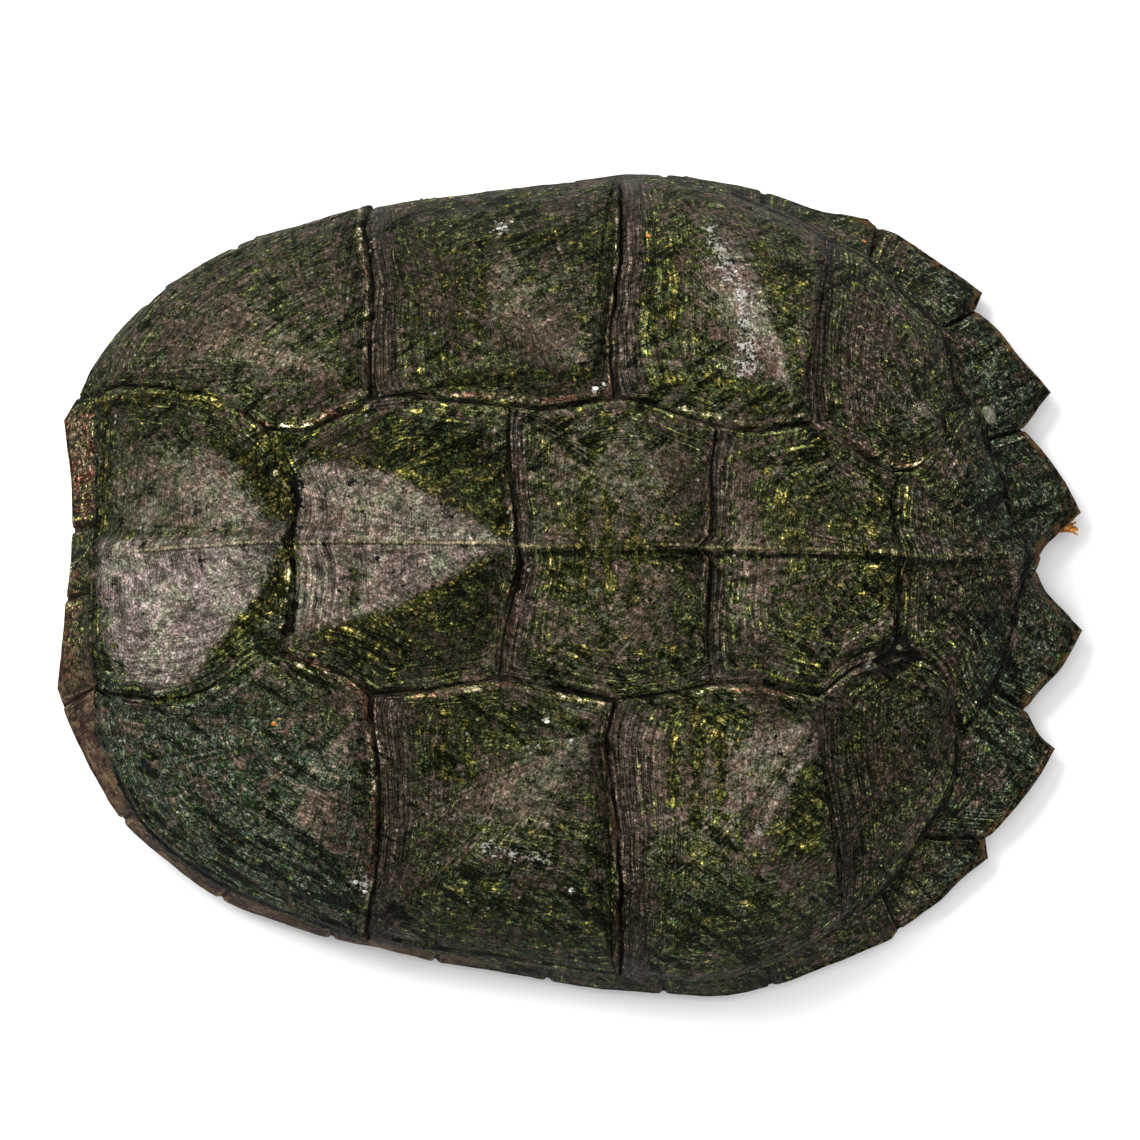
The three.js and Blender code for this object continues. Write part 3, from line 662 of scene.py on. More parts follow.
masks = {
    "pale": most(
        v1_plate, v2_plate * (0.42 + 0.2 * smoothstep(plan.real, -66, -30)),
        fans(
            (0.5, -84, 4, 146, 24, 58), (0.6, 66, 46, 112, 10, 70), (0.35, 7, 51, 128, 10, 24),
            (0.5, 72, -51, 208, 16, 34), (0.3, 8, -54, 222, 12, 30), (0.4, -62, -50, 226, 9, 30),
            (0.3, 107, 38, 120, 14, 22),
        ),
        patches((0.3, 12, (13, 32), (32, 29), (20, 8), (9, 14))),
        lines(
            (0.4, 1.4, (74, -53), (61, -74), (56, -84)), (0.5, 1.2, (134, 3), (137, -8), (136, -24)),
            (0.8, 0.9, (-127.4, 18.7), (-131, 11.3), (-128.6, 9.5), (-132.6, 2), (-136, 5.5), (-138, 2.4)),
            (0.8, 0.8, (-124.3, 18.7), (-127.7, 13.2), (-128, 4.5), (-129, 2.4)),
            (0.7, 2.2, (-86, 8), (-86, 2), (-85, -3)), (0.25, 1.2, (128, 17), (112, 30)),
            (0.8, 1.7, (-40, 1.4), (-18, 0.6)), (0.5, 1.5, (-13, 0.6), (2, 0.4)),
        ),
    ),
    "brown": most(
        0.6 * v2_plate,
        fans(
            (1, -65, 52, 163, 20, 75), (0.75, 7, 51, 133, 24, 72), (1, 66, 46, 116, 16, 66),
            (0.3, 107, 38, 134, 24, 62), (1, -62, -50, 236, 20, 55), (1, 9, -54, 218, 26, 66),
            (1, 72, -51, 212, 23, 70), (0.4, 108, -41, 236, 26, 45),
        ),
        patches(
            (0.7, 16, (-10, 38), (32, 36), (30, -34), (-10, -36)),
            (0.8, 12, (-142, 30), (-120, 36), (-98, 26), (-92, 10), (-140, 8)),
            (0.6, 12, (48, 12), (88, 10), (88, -14), (48, -24)),
            (0.25, 12, (104, 20), (128, 14), (128, -16), (104, -20)),
        ),
    ),
    "rust": most(
        patches(
            (1, 4, (-160, 52), (-147, 52), (-147, 14), (-158, 12)),
            (0.7, 4, (-161, 4), (-150, 4), (-151, -30), (-161, -42)),
        ),
        lines(
            (0.8, 1.6, (-84, -30), (-72, -35), (-62, -41)),
            (0.6, 1.6, (-100, 44), (-91, 39), (-80, 38), (-62, 44)), (0.9, 1.7, (-14, -6), (-17, -26)),
            (0.8, 1.7, (-14, 7), (-15, 18), (-17, 30)),
        ),
    ),
    "moss": most(
        lines(
            (1, 3.4, (-84, 1), (-86, -6), (-92, -14), (-99, -20), (-104, -27), (-107, -32)),
            (1, 3.5, (-106, 36), (-99, 29), (-92, 21), (-87, 12)),
            (1.2, 2.2, (-88, 34), (-86, 26), (-84, 12)), (0.6, 2.2, (-143, 52), (-142, 30), (-143, 12)),
            (0.7, 1.6, (-143, -8), (-140, -22), (-132, -38)), (0.8, 3, (-137, 50), (-120, 51), (-108, 46)),
            (0.8, 2.5, (-36, 50), (-15, 52), (5, 51)), (0.7, 2.2, (25, 50), (40, 51), (58, 47)),
            (0.7, 2, (-128, -42), (-112, -42), (-96, -34)),
            (1.3, 2, (-76, 30), (-51, 24), (-39, 17), (-28, 9), (-19, 4)),
            (1.3, 2, (-74, -25), (-50, -19), (-36, -12), (-24, -4)), (1, 2, (-65, -3), (-64, -15)),
            (1.5, 1.3, (4, 14), (4, -16)), (1.6, 1.3, (11, 14), (11, -16)), (1.4, 1.3, (19, 11), (19, -16)),
            (1.5, 1.0, (0, 0.3), (30, 0.3)), (1.3, 1.0, (4, -2.7), (38, -2.8)),
            (1, 1.8, (30.5, -49), (30.5, -74)), (1, 2, (37.5, -49), (37.5, -80)),
            (1, 1.8, (44, -50), (44, -74)), (1, 1.5, (50, -50), (50, -58)),
            (0.8, 1.8, (-33, 96), (-33, 60)), (0.8, 1.8, (-27, 98), (-27, 66)),
            (1, 2.5, (-12, 97), (-5, 98)), (0.7, 2, (24, 97), (24, 62)), (0.7, 2, (31, 96), (31, 66)),
            (0.7, 3, (58, 96), (62, 78)), (0.8, 2.5, (-37, -52), (-37, -68)),
            (0.8, 2.5, (-30, -49), (-30, -66)),
        ),
        patches(
            (0.5, 8, (-75, 33), (-50, 26), (-20, 7), (-18, 24), (-30, 34), (-56, 40)),
            (0.4, 8, (-72, -26), (-50, -20), (-22, -5), (-21, -26), (-34, -36), (-58, -38)),
            (0.45, 14, (53, 20), (93, 17), (96, 5), (96, -16), (62, -21)),
            (0.3, 14, (-52, 105), (-50, 60), (-35, 55), (-22, 98), (12, 100), (12, 80), (-6, 92)),
            (0.3, 14, (22, 105), (22, 60), (40, 60), (40, 100)),
            (0.5, 10, (55, 100), (60, 70), (72, 60), (74, 90)),
            (0.4, 10, (-46, -44), (-21, -45), (-21, -65), (-46, -68)),
            (0.3, 16, (-50, -96), (60, -100), (60, -116), (-50, -116)),
            (0.6, 5, (69, -60), (60, -88), (75, -92), (77, -64)),
            (0.3, 12, (-10, 38), (35, 36), (35, -36), (-10, -36)),
        ),
    ),
    "teal": patches(
        (1, 25, (-150, -35), (-95, -35), (-60, -60), (-60, -120), (-110, -105), (-145, -70)),
        (0.8, 20, (100, -130), (170, -130), (170, 130), (100, 130), (118, 60), (122, -50)),
        (0.4, 20, (-60, -95), (100, -95), (100, -135), (-60, -135)),
    ),
    "scrape": most(
        lines(
            (0.9, 3, (43, 100), (47, 88), (51, 77), (53, 64), (51, 53)), (1, 3.2, (53, 64), (54, 54)),
            (1, 2, (-25, -87), (-17, -90), (-7, -92)),
        ),
        spots(
            (1, 47, 90, 4), (0.8, 89.5, -31.5, 2.2), (0.7, 100, -28.5, 1.2), (0.8, -21, 101, 4),
            (1, 8, 47, 2.0), (0.9, -63, -98, 3.5), (1, 0, -57, 1.6), (1, -7, -51, 1.3), (1, 0, -100, 1.3),
            (0.7, 88, -107, 2),
        ),
    ),
    "torn": torn,
    "sheltered": np.where(kind == TURNED_UNDER, 1.0, 0.0),
    # Raised crests, which the horn material also lightens as a painted highlight.
    "crest": most(
        lines(
            (1, 0.9, (81, -28), (90, -22), (99, -19), (104, -22)),
            (1, 1.2, (-86, -2), (-93, -12), (-101, -21), (-108, -30), (-116, -38), (-126, -40)),
            (0.7, 1.1, (-86, 8), (-93, 18), (-101, 27), (-110, 33)),
            (0.6, 1, (-142, 6), (-112, 5), (-88, 4)),
            (0.6, 1.1, (-82, 28), (-66, 31), (-50, 23), (-38, 16), (-18, 2)),
            (0.7, 1.1, (-82, -27), (-67, -24), (-50, -17), (-36, -9), (-18, 0)),
            (1, 1.2, (75, -53), (61, -74), (56, -84)), (1, 1.0, (-2, -47), (7, -50), (13, -57)),
            (0.8, 1.0, (-13, 64.6), (-4, 58), (6.4, 55.5)), (0.8, 1.2, (113, 38), (100, 55)),
            (1, 0.9, (112, 37), (120, 28)), (0.8, 1.1, (134, 3), (137, -8), (136, -24)),
            (0.8, 1.1, (-131, -43), (-119, -46), (-106, -44), (-96, -38), (-91, -33)),
            (0.7, 1.0, (-36, 76), (-22, 66)), (0.6, 1.0, (60, 97), (66, 80), (70, 60)),
        ),
        spots((1.2, 89.5, -31.5, 2.2), (1, 100, -28.5, 1.4)),
    ),
    # Painted shadow: dark lines along the ring seam at the rear and on the left, along the seam between the
    # fourth and fifth vertebral scutes, along the front of the ring and under the overhanging rear lip of the
    # first vertebral scute.
    "gap": most(
        0.95 * line(*rear_ring, width=1.3), 0.85 * line(*left_ring, width=0.8),
        lines(
            (0.8, 1, (96, 24), (96.5, 13), (98, -1), (98.5, -14), (97, -26)),
            (0.8, 0.9, (-145.5, 52), (-146, 30), (-146, 0), (-146.5, -34)),
            (1, 1.1, (-83, 22), (-81.5, 14), (-82.5, 5), (-82, -3), (-82, -14), (-82.5, -24)),
            (1, 2.0, (-82, 23), (-81.3, 15), (-82, 8)),
        ),
    ),
    "rim_brown": (kind >= FIRST_MARGINAL) * smoothstep(-plan.real, 10, 50) * smoothstep(-plan.imag, 20, 42),
    "tone": sum(strength * patch(*corners, soft=8) for strength, *corners in LIGHTER_OR_DARKER),
    "edge": (plan.real > 90) * (1 - smoothstep(
        distance_to([(z.real, z.imag) for z in rim], closed=True), 0.8, 3)),
}

# The smooth bands on the rear side of some seams, and how wide each is.
BANDS = {
    ("k2", "r2"): 2.4, ("k2", "l2"): 2.4, ("k3", "r3"): 2.4, ("k3", "l3"): 2.4,
    ("er1", "cr1"): 4, ("er2", "cr2"): 4, ("er3", "cr3"): 2.4,
    ("el1", "cl1"): 5, ("el2", "cl2"): 4.5, ("el3", "cl3"): 2.4,
}


def smooth_band(ends, broad):
    seam = paths[ends][1][::3]
    return line(*[(x + broad * 0.9, y) for x, y, _ in seam], width=broad)


masks["band"] = most(*(smooth_band(ends, broad) for ends, broad in BANDS.items()))

relief = 0.9 * v1_plate + 0.8 * v2_plate + 0.7 * masks["crest"]
relief += 1.0 * line((-80, -36), (-71, -39), (-62, -43), width=2.0)
relief -= 1.4 * torn
relief -= 1.6 * most(spot(-141, -14, 2.2), spot(-136, -16, 2.0), spot(-76, 43, 1.8))

bumps = np.zeros(count)
for i in np.flatnonzero(outside):
    at = Vector(place[i])
    bumps[i] = 0.26 * noise.noise(at * 0.12) + 0.16 * noise.noise(at * 0.37)
    if torn[i] > 0.05:
        bumps[i] += torn[i] * (1.8 * noise.noise(at * 0.35) + 0.8 * noise.noise(at * 0.9))
# The spine and the ribs show inside as low swellings.
inside = smoothstep(place[:, 2], 30, 48) * (kind == BARE_BONE)
wave = np.cos((place[:, 0] - RIB_START) * 2 * math.pi / RIB_SPACING)
aside = np.abs(plan.imag - SPINE_Y)
spine = (2.4 - 0.5 * wave) * np.exp(-((aside / 5.5) ** 2))
ribs = 1.2 * smoothstep(wave, 0.0, 0.9) * smoothstep(aside, 5, 14) * (1 - smoothstep(aside, 50, 78))
move = np.where(outside, relief + bumps, inside * (spine + ribs)) * (1 - 0.7 * seam_part)
low, high = np.array(solid_box[0]) / MM, np.array(solid_box[1]) / MM
place = np.clip(place + normals * move[:, None], low, high)
shell_mesh.vertices.foreach_set("co", (place * MM).ravel())
for name, mask in masks.items():
    attribute = shell_mesh.attributes.new(name, "FLOAT", "POINT")
    attribute.data.foreach_set("value", mask * (kind > BARE_BONE))
shell_mesh.update()
shell_mesh.attributes.remove(shell_mesh.attributes["kind"])


# ---------------------------------------------------------------- node trees

class Tree:
    """Shorthand for the nodes of one material or group."""

    def __init__(self, tree):
        self.tree = tree

    def feed(self, socket, value):
        """Link another node's output to a socket, or set the socket to a constant."""
        if isinstance(value, bpy.types.NodeSocket):
            self.tree.links.new(value, socket)
        else:
            socket.default_value = value

    def node(self, kind, inputs=(), **settings):
        made = self.tree.nodes.new(kind)
        for name, value in settings.items():
            setattr(made, name, value)
        for name, value in dict(inputs).items():
            self.feed(made.inputs[name], value)
        return made

    def where(self):
        return self.node("ShaderNodeTexCoord").outputs["Object"]

    def noise(self, vector, scale, detail, dimensions="3D"):
        inputs = {"Vector": vector, "Scale": scale, "Detail": detail, "Roughness": 0.6}
        return self.node("ShaderNodeTexNoise", inputs, noise_dimensions=dimensions).outputs["Fac"]

    def rough_noise(self, vector, scale, detail, dimensions="3D"):
        """Noise about 0, with an even spread over most of -1 to 1."""
        return self.math("MULTIPLY_ADD", self.noise(vector, scale, detail, dimensions), 5.5, -2.75)

    def math(self, operation, a, b=0.0, c=0.0):
        return self.node("ShaderNodeMath", {0: a, 1: b, 2: c}, operation=operation).outputs[0]

    def times(self, a, b):
        return self.math("MULTIPLY", a, b)

    def plus(self, a, b):
        return self.math("ADD", a, b)

    def total(self, start, *parts):
        """The sum of start and of each part's value times its weight."""
        for value, weight in parts:
            start = self.math("MULTIPLY_ADD", value, weight, start)
        return start

    def level(self, value, low, high, to_low=0.0, to_high=1.0):
        inputs = {"Value": value, "From Min": low, "From Max": high, "To Min": to_low, "To Max": to_high}
        return self.node("ShaderNodeMapRange", inputs, interpolation_type="SMOOTHSTEP").outputs["Result"]

    def over(self, low, high, *parts, start=0.0, to=(0.0, 1.0)):
        """Where a weighted sum climbs from low to high."""
        return self.level(self.total(start, *parts), low, high, *to)

    def mapping(self, vector, turn=0.0, scale=(1, 1, 1)):
        inputs = {"Vector": vector, "Rotation": (0, 0, math.radians(turn)), "Scale": scale}
        return self.node("ShaderNodeMapping", inputs).outputs["Vector"]

    def axes(self, vector):
        parts = self.node("ShaderNodeSeparateXYZ", {0: vector}).outputs
        return parts["X"], parts["Y"], parts["Z"]

    def blend(self, share, a, b, mode="MIX"):
        made = self.node("ShaderNodeMix", data_type="RGBA", blend_type=mode)
        for socket, value in ((made.inputs[0], share), (made.inputs[6], a), (made.inputs[7], b)):
            self.feed(socket, (*value, 1) if isinstance(value, tuple) else value)
        return made.outputs[2]

    def brighten(self, colour, strength, value):
        """A colour scaled by strength to the power of value, so that a value of 0 leaves it."""
        factor = self.math("POWER", strength, value)
        return self.node("ShaderNodeVectorMath", {0: colour, "Scale": factor}, operation="SCALE").outputs[0]

    def ramp(self, value, *stops):
        made = self.node("ShaderNodeValToRGB", {"Fac": value})
        elements = made.color_ramp.elements
        elements[0].position, elements[1].position = stops[0][0], stops[-1][0]
        for position, _ in stops[1:-1]:
            elements.new(position)
        for element, (_, colour) in zip(elements, stops):
            element.color = (*colour, 1)
        return made.outputs["Color"]

    def attributes(self, *names):
        return [self.node("ShaderNodeAttribute", attribute_name=name).outputs["Fac"] for name in names]


def node_group(name, inputs, outputs):
    """A shader group with named sockets, its tree, and its input and output nodes."""
    group = bpy.data.node_groups.new(name, "ShaderNodeTree")
    for socket, (kind, value) in inputs.items():
        made = group.interface.new_socket(socket, in_out="INPUT", socket_type=kind)
        if value is not None:
            made.default_value = value
    for socket, kind in outputs.items():
        group.interface.new_socket(socket, in_out="OUTPUT", socket_type=kind)
    tree = Tree(group)
    return group, tree, tree.node("NodeGroupInput").outputs, tree.node("NodeGroupOutput").inputs


def material(name):
    made = bpy.data.materials.new(name)
    made.use_nodes = True
    made.node_tree.nodes.clear()
    tree = Tree(made.node_tree)
    shader = tree.node("ShaderNodeBsdfPrincipled")
    tree.node("ShaderNodeOutputMaterial", {"Surface": shader.outputs[0]})
    return made, tree, shader


def dress(tree, shader, colour, roughness, specular, height=None, depth=0.0):
    """Feed a material's colour and roughness, and a bump that is depth metres high at a height of 1."""
    tree.feed(shader.inputs["Base Color"], colour)
    tree.feed(shader.inputs["Roughness"], roughness)
    shader.inputs["Specular IOR Level"].default_value = specular
    if height is not None:
        bump = tree.node("ShaderNodeBump", {"Height": height, "Strength": 1.0, "Distance": depth})
        tree.feed(shader.inputs["Normal"], bump.outputs[0])


def streaks_group():
    """Grain drawn out in one direction, as a mask with strong light and dark."""
    group, tree, given, out = node_group(
        "streaked_grain",
        {"Vector": ("NodeSocketVector", None), "Turn": ("NodeSocketFloat", 0.0),
         "Width mm": ("NodeSocketFloat", 1.2), "Stretch": ("NodeSocketFloat", 5.0)},
        {"Mask": "NodeSocketFloat", "Fine": "NodeSocketFloat"},
    )
    turn = tree.node("ShaderNodeVectorRotate", {"Vector": given["Vector"], "Angle": given["Turn"]})
    across = tree.math("DIVIDE", 1000.0, given["Width mm"])
    along = tree.math("DIVIDE", across, given["Stretch"])
    scale = tree.node("ShaderNodeCombineXYZ", {"X": along, "Y": across, "Z": along}).outputs[0]
    drawn = tree.node("ShaderNodeVectorMath", {0: turn.outputs[0], 1: scale}, operation="MULTIPLY").outputs[0]
    tree.feed(out["Mask"], tree.level(tree.noise(drawn, 0.5, 3), 0.42, 0.6))
    tree.feed(out["Fine"], tree.rough_noise(given["Vector"], 1500, 2))
    return group


STREAKS = streaks_group()

# Each finish of the horn as the two colours that its patches run between.
HORN = (0.067, 0.048, 0.037), (0.046, 0.051, 0.034)
EARTHY = (0.119, 0.083, 0.066), (0.085, 0.085, 0.059)
WORN = (0.147, 0.119, 0.110), (0.113, 0.115, 0.084)
RUSTY = (0.103, 0.037, 0.025), (0.136, 0.107, 0.066)
ALGAE = (0.015, 0.024, 0.010), (0.050, 0.052, 0.017)
COOL_ALGAE = (0.014, 0.023, 0.016), (0.038, 0.047, 0.031)
POLISHED = (0.010, 0.007, 0.006), (0.048, 0.036, 0.029)
LIP = (0.095, 0.046, 0.030), (0.15, 0.13, 0.085)
BARE_RIM = (0.024, 0.010, 0.008), (0.150, 0.100, 0.055)
LIT_TO_SHADED = (1.02, 0.98, 0.96), (0.84, 0.93, 0.68)
TUFTS = (
    (0.0, (0.010, 0.020, 0.008)), (0.35, (0.036, 0.043, 0.012)),
    (0.65, (0.084, 0.077, 0.020)), (1.0, (0.165, 0.128, 0.038)),
)
CHALK = (0.37, 0.35, 0.31)
SPECKS = (0.25, 0.24, 0.19)
KEEL_CREST = (0.175, 0.150, 0.085)
TOOTH_EDGE = (0.150, 0.075, 0.028)
SEAM_DARKENING = (0.003, 0.002, 0.002)
GAP_SHADOW = (0.0025, 0.002, 0.002)
TORN_DARKENING = (0.006, 0.005, 0.005)


def horn_material():
    """Dark horn, worn brown, rusty or pale in fans, under streaks of algae and tufts of moss."""
    made, tree, shader = material("horn_scutes")
    blend, level, over, times, rough = tree.blend, tree.level, tree.over, tree.times, tree.rough_noise
    where = tree.where()
    ring_uv = tree.node("ShaderNodeUVMap", uv_map="growth").outputs["UV"]
    moss, pale, brown, teal, rust, scrape, band, seam = tree.attributes(
        "moss", "pale", "brown", "teal", "rust", "scrape", "band", "seam")
    tear, lip, tone, rim_brown, gap, tooth_edge, crest, sheltered = tree.attributes(
        "torn", "lip", "tone", "rim_brown", "gap", "edge", "crest", "sheltered")
    x, y, z = tree.axes(where)
    mirrored = tree.node("ShaderNodeCombineXYZ", {"X": x, "Y": tree.math("ABSOLUTE", y), "Z": z}).outputs[0]

    def strokes(turn, width, stretch):
        """Leaning strokes, mirrored from the animal's right side to its left."""
        given = {"Vector": mirrored, "Turn": math.radians(turn), "Width mm": width, "Stretch": stretch}
        return tree.node("ShaderNodeGroup", given, node_tree=STREAKS).outputs

    def grown_lines(along, outwards):
        """Lines that follow a scute's rings where outwards is the larger, or that cross them."""
        return rough(tree.mapping(ring_uv, scale=(along, outwards, 1)), 1.0, 2, "2D")

    # Grain from coarse to fine, the growth ridges, and the strokes that algae grow in.
    short_strokes = strokes(-28, 1.0, 5.0)
    streak, fine = short_strokes["Mask"], short_strokes["Fine"]
    cloud, blotch, crumb = (rough(where, scale, 3) for scale in (50, 170, 600))
    hue = rough(tree.mapping(where, turn=50), 240, 2)
    patchy = rough(tree.mapping(where, turn=20), 420, 2)
    outer = level(tree.axes(ring_uv)[1], 0.45, 0.95, 0.35, 1.0)
    ridges = times(grown_lines(3, 52), outer)
    fine_ridges = grown_lines(5, 170)
    radial = grown_lines(42, 2)
    stroke = over(0.78, 1.0, (strokes(-33, 1.4, 6.0)["Mask"], 1.0), (cloud, 0.4), (pale, -0.6), (brown, -0.25))

    # The horn itself.
    hues = over(-0.5, 0.5, (hue, 0.5), (blotch, 0.4), (cloud, 0.4))
    worn = blend(over(-0.5, 0.5, (hue, 0.6), (blotch, 0.4), (cloud, 0.4)), *WORN)
    rusty = blend(over(-0.5, 0.6, (hue, 0.6), (blotch, 0.5)), *RUSTY)
    earthy = over(0.1, 0.8, (brown, 1.0), (cloud, 0.25), (blotch, 0.35), (crumb, 0.15), (radial, 0.2))
    colour = blend(earthy, blend(hues, *HORN), blend(hues, *EARTHY))
    colour = blend(over(0.3, 0.7, (rust, 1.0), (blotch, 0.25), (crumb, 0.2)), colour, rusty)
    colour = blend(over(0.1, 0.85, (pale, 1.0), (blotch, 0.25), (patchy, 0.2)), colour, worn)

    # The film of algae on it, bluish where teal says so.
    cover = tree.total(
        -0.05, (cloud, 0.35), (blotch, 0.5), (patchy, 0.28), (streak, 0.2), (moss, 0.6), (pale, -0.92),
        (teal, 0.36), (brown, -0.42), (band, -0.4), (rust, -0.3), (radial, -0.15), (ridges, 0.22),
        (crest, -0.5), (sheltered, -0.7),
    )
    covered = level(cover, -0.1, 0.12)
    # Painted shadow along the edge of the algae film, so that the film looks thick.
    cover_edge_shadow = times(level(cover, -0.24, -0.1), level(cover, 0.04, -0.08))
    algae = blend(over(-0.4, 0.6, (hue, 0.5), (patchy, 0.5)), *ALGAE)
    cool = blend(level(patchy, -0.4, 0.6), *COOL_ALGAE)
    algae = blend(over(0.1, 1.0, (teal, 1.0), (blotch, 0.3), (cloud, 0.2)), algae, cool)
    colour = blend(times(covered, 0.92), colour, algae)

    # Low tufts of moss between the clumps.
    leaning = tree.mapping(mirrored, turn=-28, scale=(0.72, 1, 1))
    tuft = tree.total(
        -0.78, (rough(leaning, 470, 2), 0.6), (rough(leaning, 170, 2), 0.4), (ridges, 0.3), (moss, 0.65),
        (pale, -0.4), (rust, 0.4), (covered, 0.42), (band, -0.6), (seam, -0.5), (crest, -0.6),
        (sheltered, -0.6),
    )
    pick = tree.total(0.36, (hue, 0.3), (patchy, 0.25), (moss, 0.2), (cloud, 0.12), (teal, -0.3))
    colour = blend(level(tuft, -0.12, 0.2), colour, tree.ramp(pick, *TUFTS))

    # Polished bands of new growth beside the seams, and worn lips, reddish brown with a painted highlight in
    # places.
    polish = over(0.25, 0.95, (band, 1.0), (blotch, 0.35), (crumb, 0.2), (tuft, -0.5), to=(0.0, 0.85))
    colour = blend(polish, colour, blend(level(fine_ridges, -0.5, 0.6), *POLISHED))
    worn_and_lit_lip = times(over(0.8, 1.15, (lip, 1.0), (crumb, 0.35), (blotch, 0.4)), 0.75)
    colour = blend(worn_and_lit_lip, colour, blend(level(cloud, -0.4, 0.4), *LIP))

    # The keel's crest, worn pale and given a painted highlight, and a painted shadow line in the trough on its
    # left.
    keel_y = tree.plus(level(x, -0.09, 0.0, KEEL_BEND * MM, 0.0), level(x, 0.1, 0.14, 0.0, KEEL_BEND * MM))
    off_keel = tree.math("SUBTRACT", y, keel_y)
    high_up = level(z, 0.045, 0.06)
    ridge = times(level(tree.math("ABSOLUTE", off_keel), 0.0011, 0.0002), high_up)
    shaded_trough = times(level(tree.math("ABSOLUTE", tree.plus(off_keel, 0.0021)), 0.0011, 0.0003), high_up)
    shaded_trough = times(shaded_trough, level(x, -0.02, 0.0))
    worn_and_lit_crest = times(ridge, over(0.0, 0.6, (cloud, 0.3), (hue, 0.2), start=0.5, to=(0.4, 0.9)))
    worn_and_lit_crest = times(worn_and_lit_crest, level(x, -0.07, 0.0, 0.35, 0.95))
    colour = blend(worn_and_lit_crest, colour, KEEL_CREST)

    # Light and dark grain over all of these, with a painted highlight on the raised crests and painted shadow
    # at the edge of the algae film and in the keel's trough.
    grown = times(tree.total(0.0, (ridges, 0.5), (fine_ridges, 0.28)), tree.total(1.0, (pale, -0.45)))
    value = tree.total(
        0.0, (crumb, 0.66), (fine, 0.7), (grown, 1.0), (radial, 0.15), (blotch, 0.27), (cloud, 0.15))
    tail = level(x, 0.072, 0.09)
    value = times(value, tree.total(0.66, (covered, 0.34), (pale, 0.05), (tail, 0.28), (rust, 0.5)))
    value = tree.plus(value, tree.total(
        0.04, (cover_edge_shadow, -0.3), (covered, -0.16), (streak, -0.2), (moss, -0.4), (crest, 0.4)))
    value = tree.plus(value, tree.total(
        0.0, (times(stroke, covered), -0.9), (shaded_trough, -0.7), (times(rust, blotch), 0.4), (rust, -0.24),
        (tone, 1.0)))
    value = tree.plus(value, times(level(tuft, 0.0, 0.35), 0.3))
    dark = times(level(value, 0.5, -0.8), tree.total(1.0, (pale, -0.7)))
    colour = blend(1.0, colour, blend(dark, *LIT_TO_SHADED), "MULTIPLY")
    colour = tree.brighten(colour, 5.5, value)

    # The bare left front rim, white scrapes, specks and tooth edges, darkening at the bottom of the seams and
    # in the torn pit, and painted shadow in the gaps.
    rim_hues = blend(over(-0.5, 0.8, (blotch, 0.7), (fine_ridges, 0.5), (crumb, 0.4), (cloud, 0.3)), *BARE_RIM)
    bare_rim = times(rim_brown, over(0.0, 0.5, (crumb, 0.3), (cloud, 0.3), start=0.5))
    colour = blend(bare_rim, colour, rim_hues)
    chalk = over(0.5, 1.0, (scrape, 0.75), (crumb, 0.35), (fine, 0.3), (patchy, 0.35), to=(0.0, 0.95))
    colour = blend(times(level(scrape, 0.1, 0.4), chalk), colour, CHALK)
    dots = tree.node("ShaderNodeTexVoronoi", {"Vector": where, "Scale": 330.0})
    lot = tree.node("ShaderNodeSeparateColor", {0: dots.outputs["Color"]}).outputs[0]
    dot = times(tree.math("GREATER_THAN", lot, 0.9), level(dots.outputs["Distance"], 0.2, 0.12))
    colour = blend(times(dot, 0.7), colour, SPECKS)
    worn_edge = times(tooth_edge, over(0.0, 0.5, (blotch, 0.5), (crumb, 0.4), start=0.1))
    colour = blend(worn_edge, colour, TOOTH_EDGE)
    # Darker at the bottom of the seams.
    seam_darkening = times(over(0.35, 0.95, (seam, 1.0), (crumb, 0.3), (blotch, 0.4)), 0.88)
    colour = blend(seam_darkening, colour, SEAM_DARKENING)
    # Painted shadow in the gaps and under the overhanging lip.
    gap_shadow = over(0.4, 0.8, (gap, 1.0), (blotch, 0.6), (crumb, 0.35), (covered, -0.15))
    colour = blend(gap_shadow, colour, GAP_SHADOW)
    # Darker in the torn pit.
    torn_darkening = over(0.2, 0.7, (tear, 0.8), (crest, -0.9), (crumb, 0.2), to=(0.0, 0.85))
    colour = blend(torn_darkening, colour, TORN_DARKENING)

    roughness = tree.total(0.62, (crumb, 0.06), (fine, 0.05), (band, -0.15))
    raised = over(-0.1, 0.12, (blotch, 0.6), (patchy, 0.35), (ridges, 0.22), (moss, 0.6), (pale, -1.15),
                  (brown, -0.42), (band, -0.5), (rust, -0.3), start=-0.05)
    height = tree.total(
        0.0, (ridges, 0.1), (crumb, 0.14), (raised, 0.45), (grown, 0.1), (blotch, 0.12),
        (level(tuft, -0.05, 0.3), 0.5), (ridge, 0.8), (shaded_trough, -0.4),
    )
    dress(tree, shader, colour, roughness, 0.03, height, 0.001)
    return made


BONE = ((0.0, (0.13, 0.085, 0.045)), (0.45, (0.36, 0.28, 0.175)), (1.0, (0.52, 0.44, 0.31)))


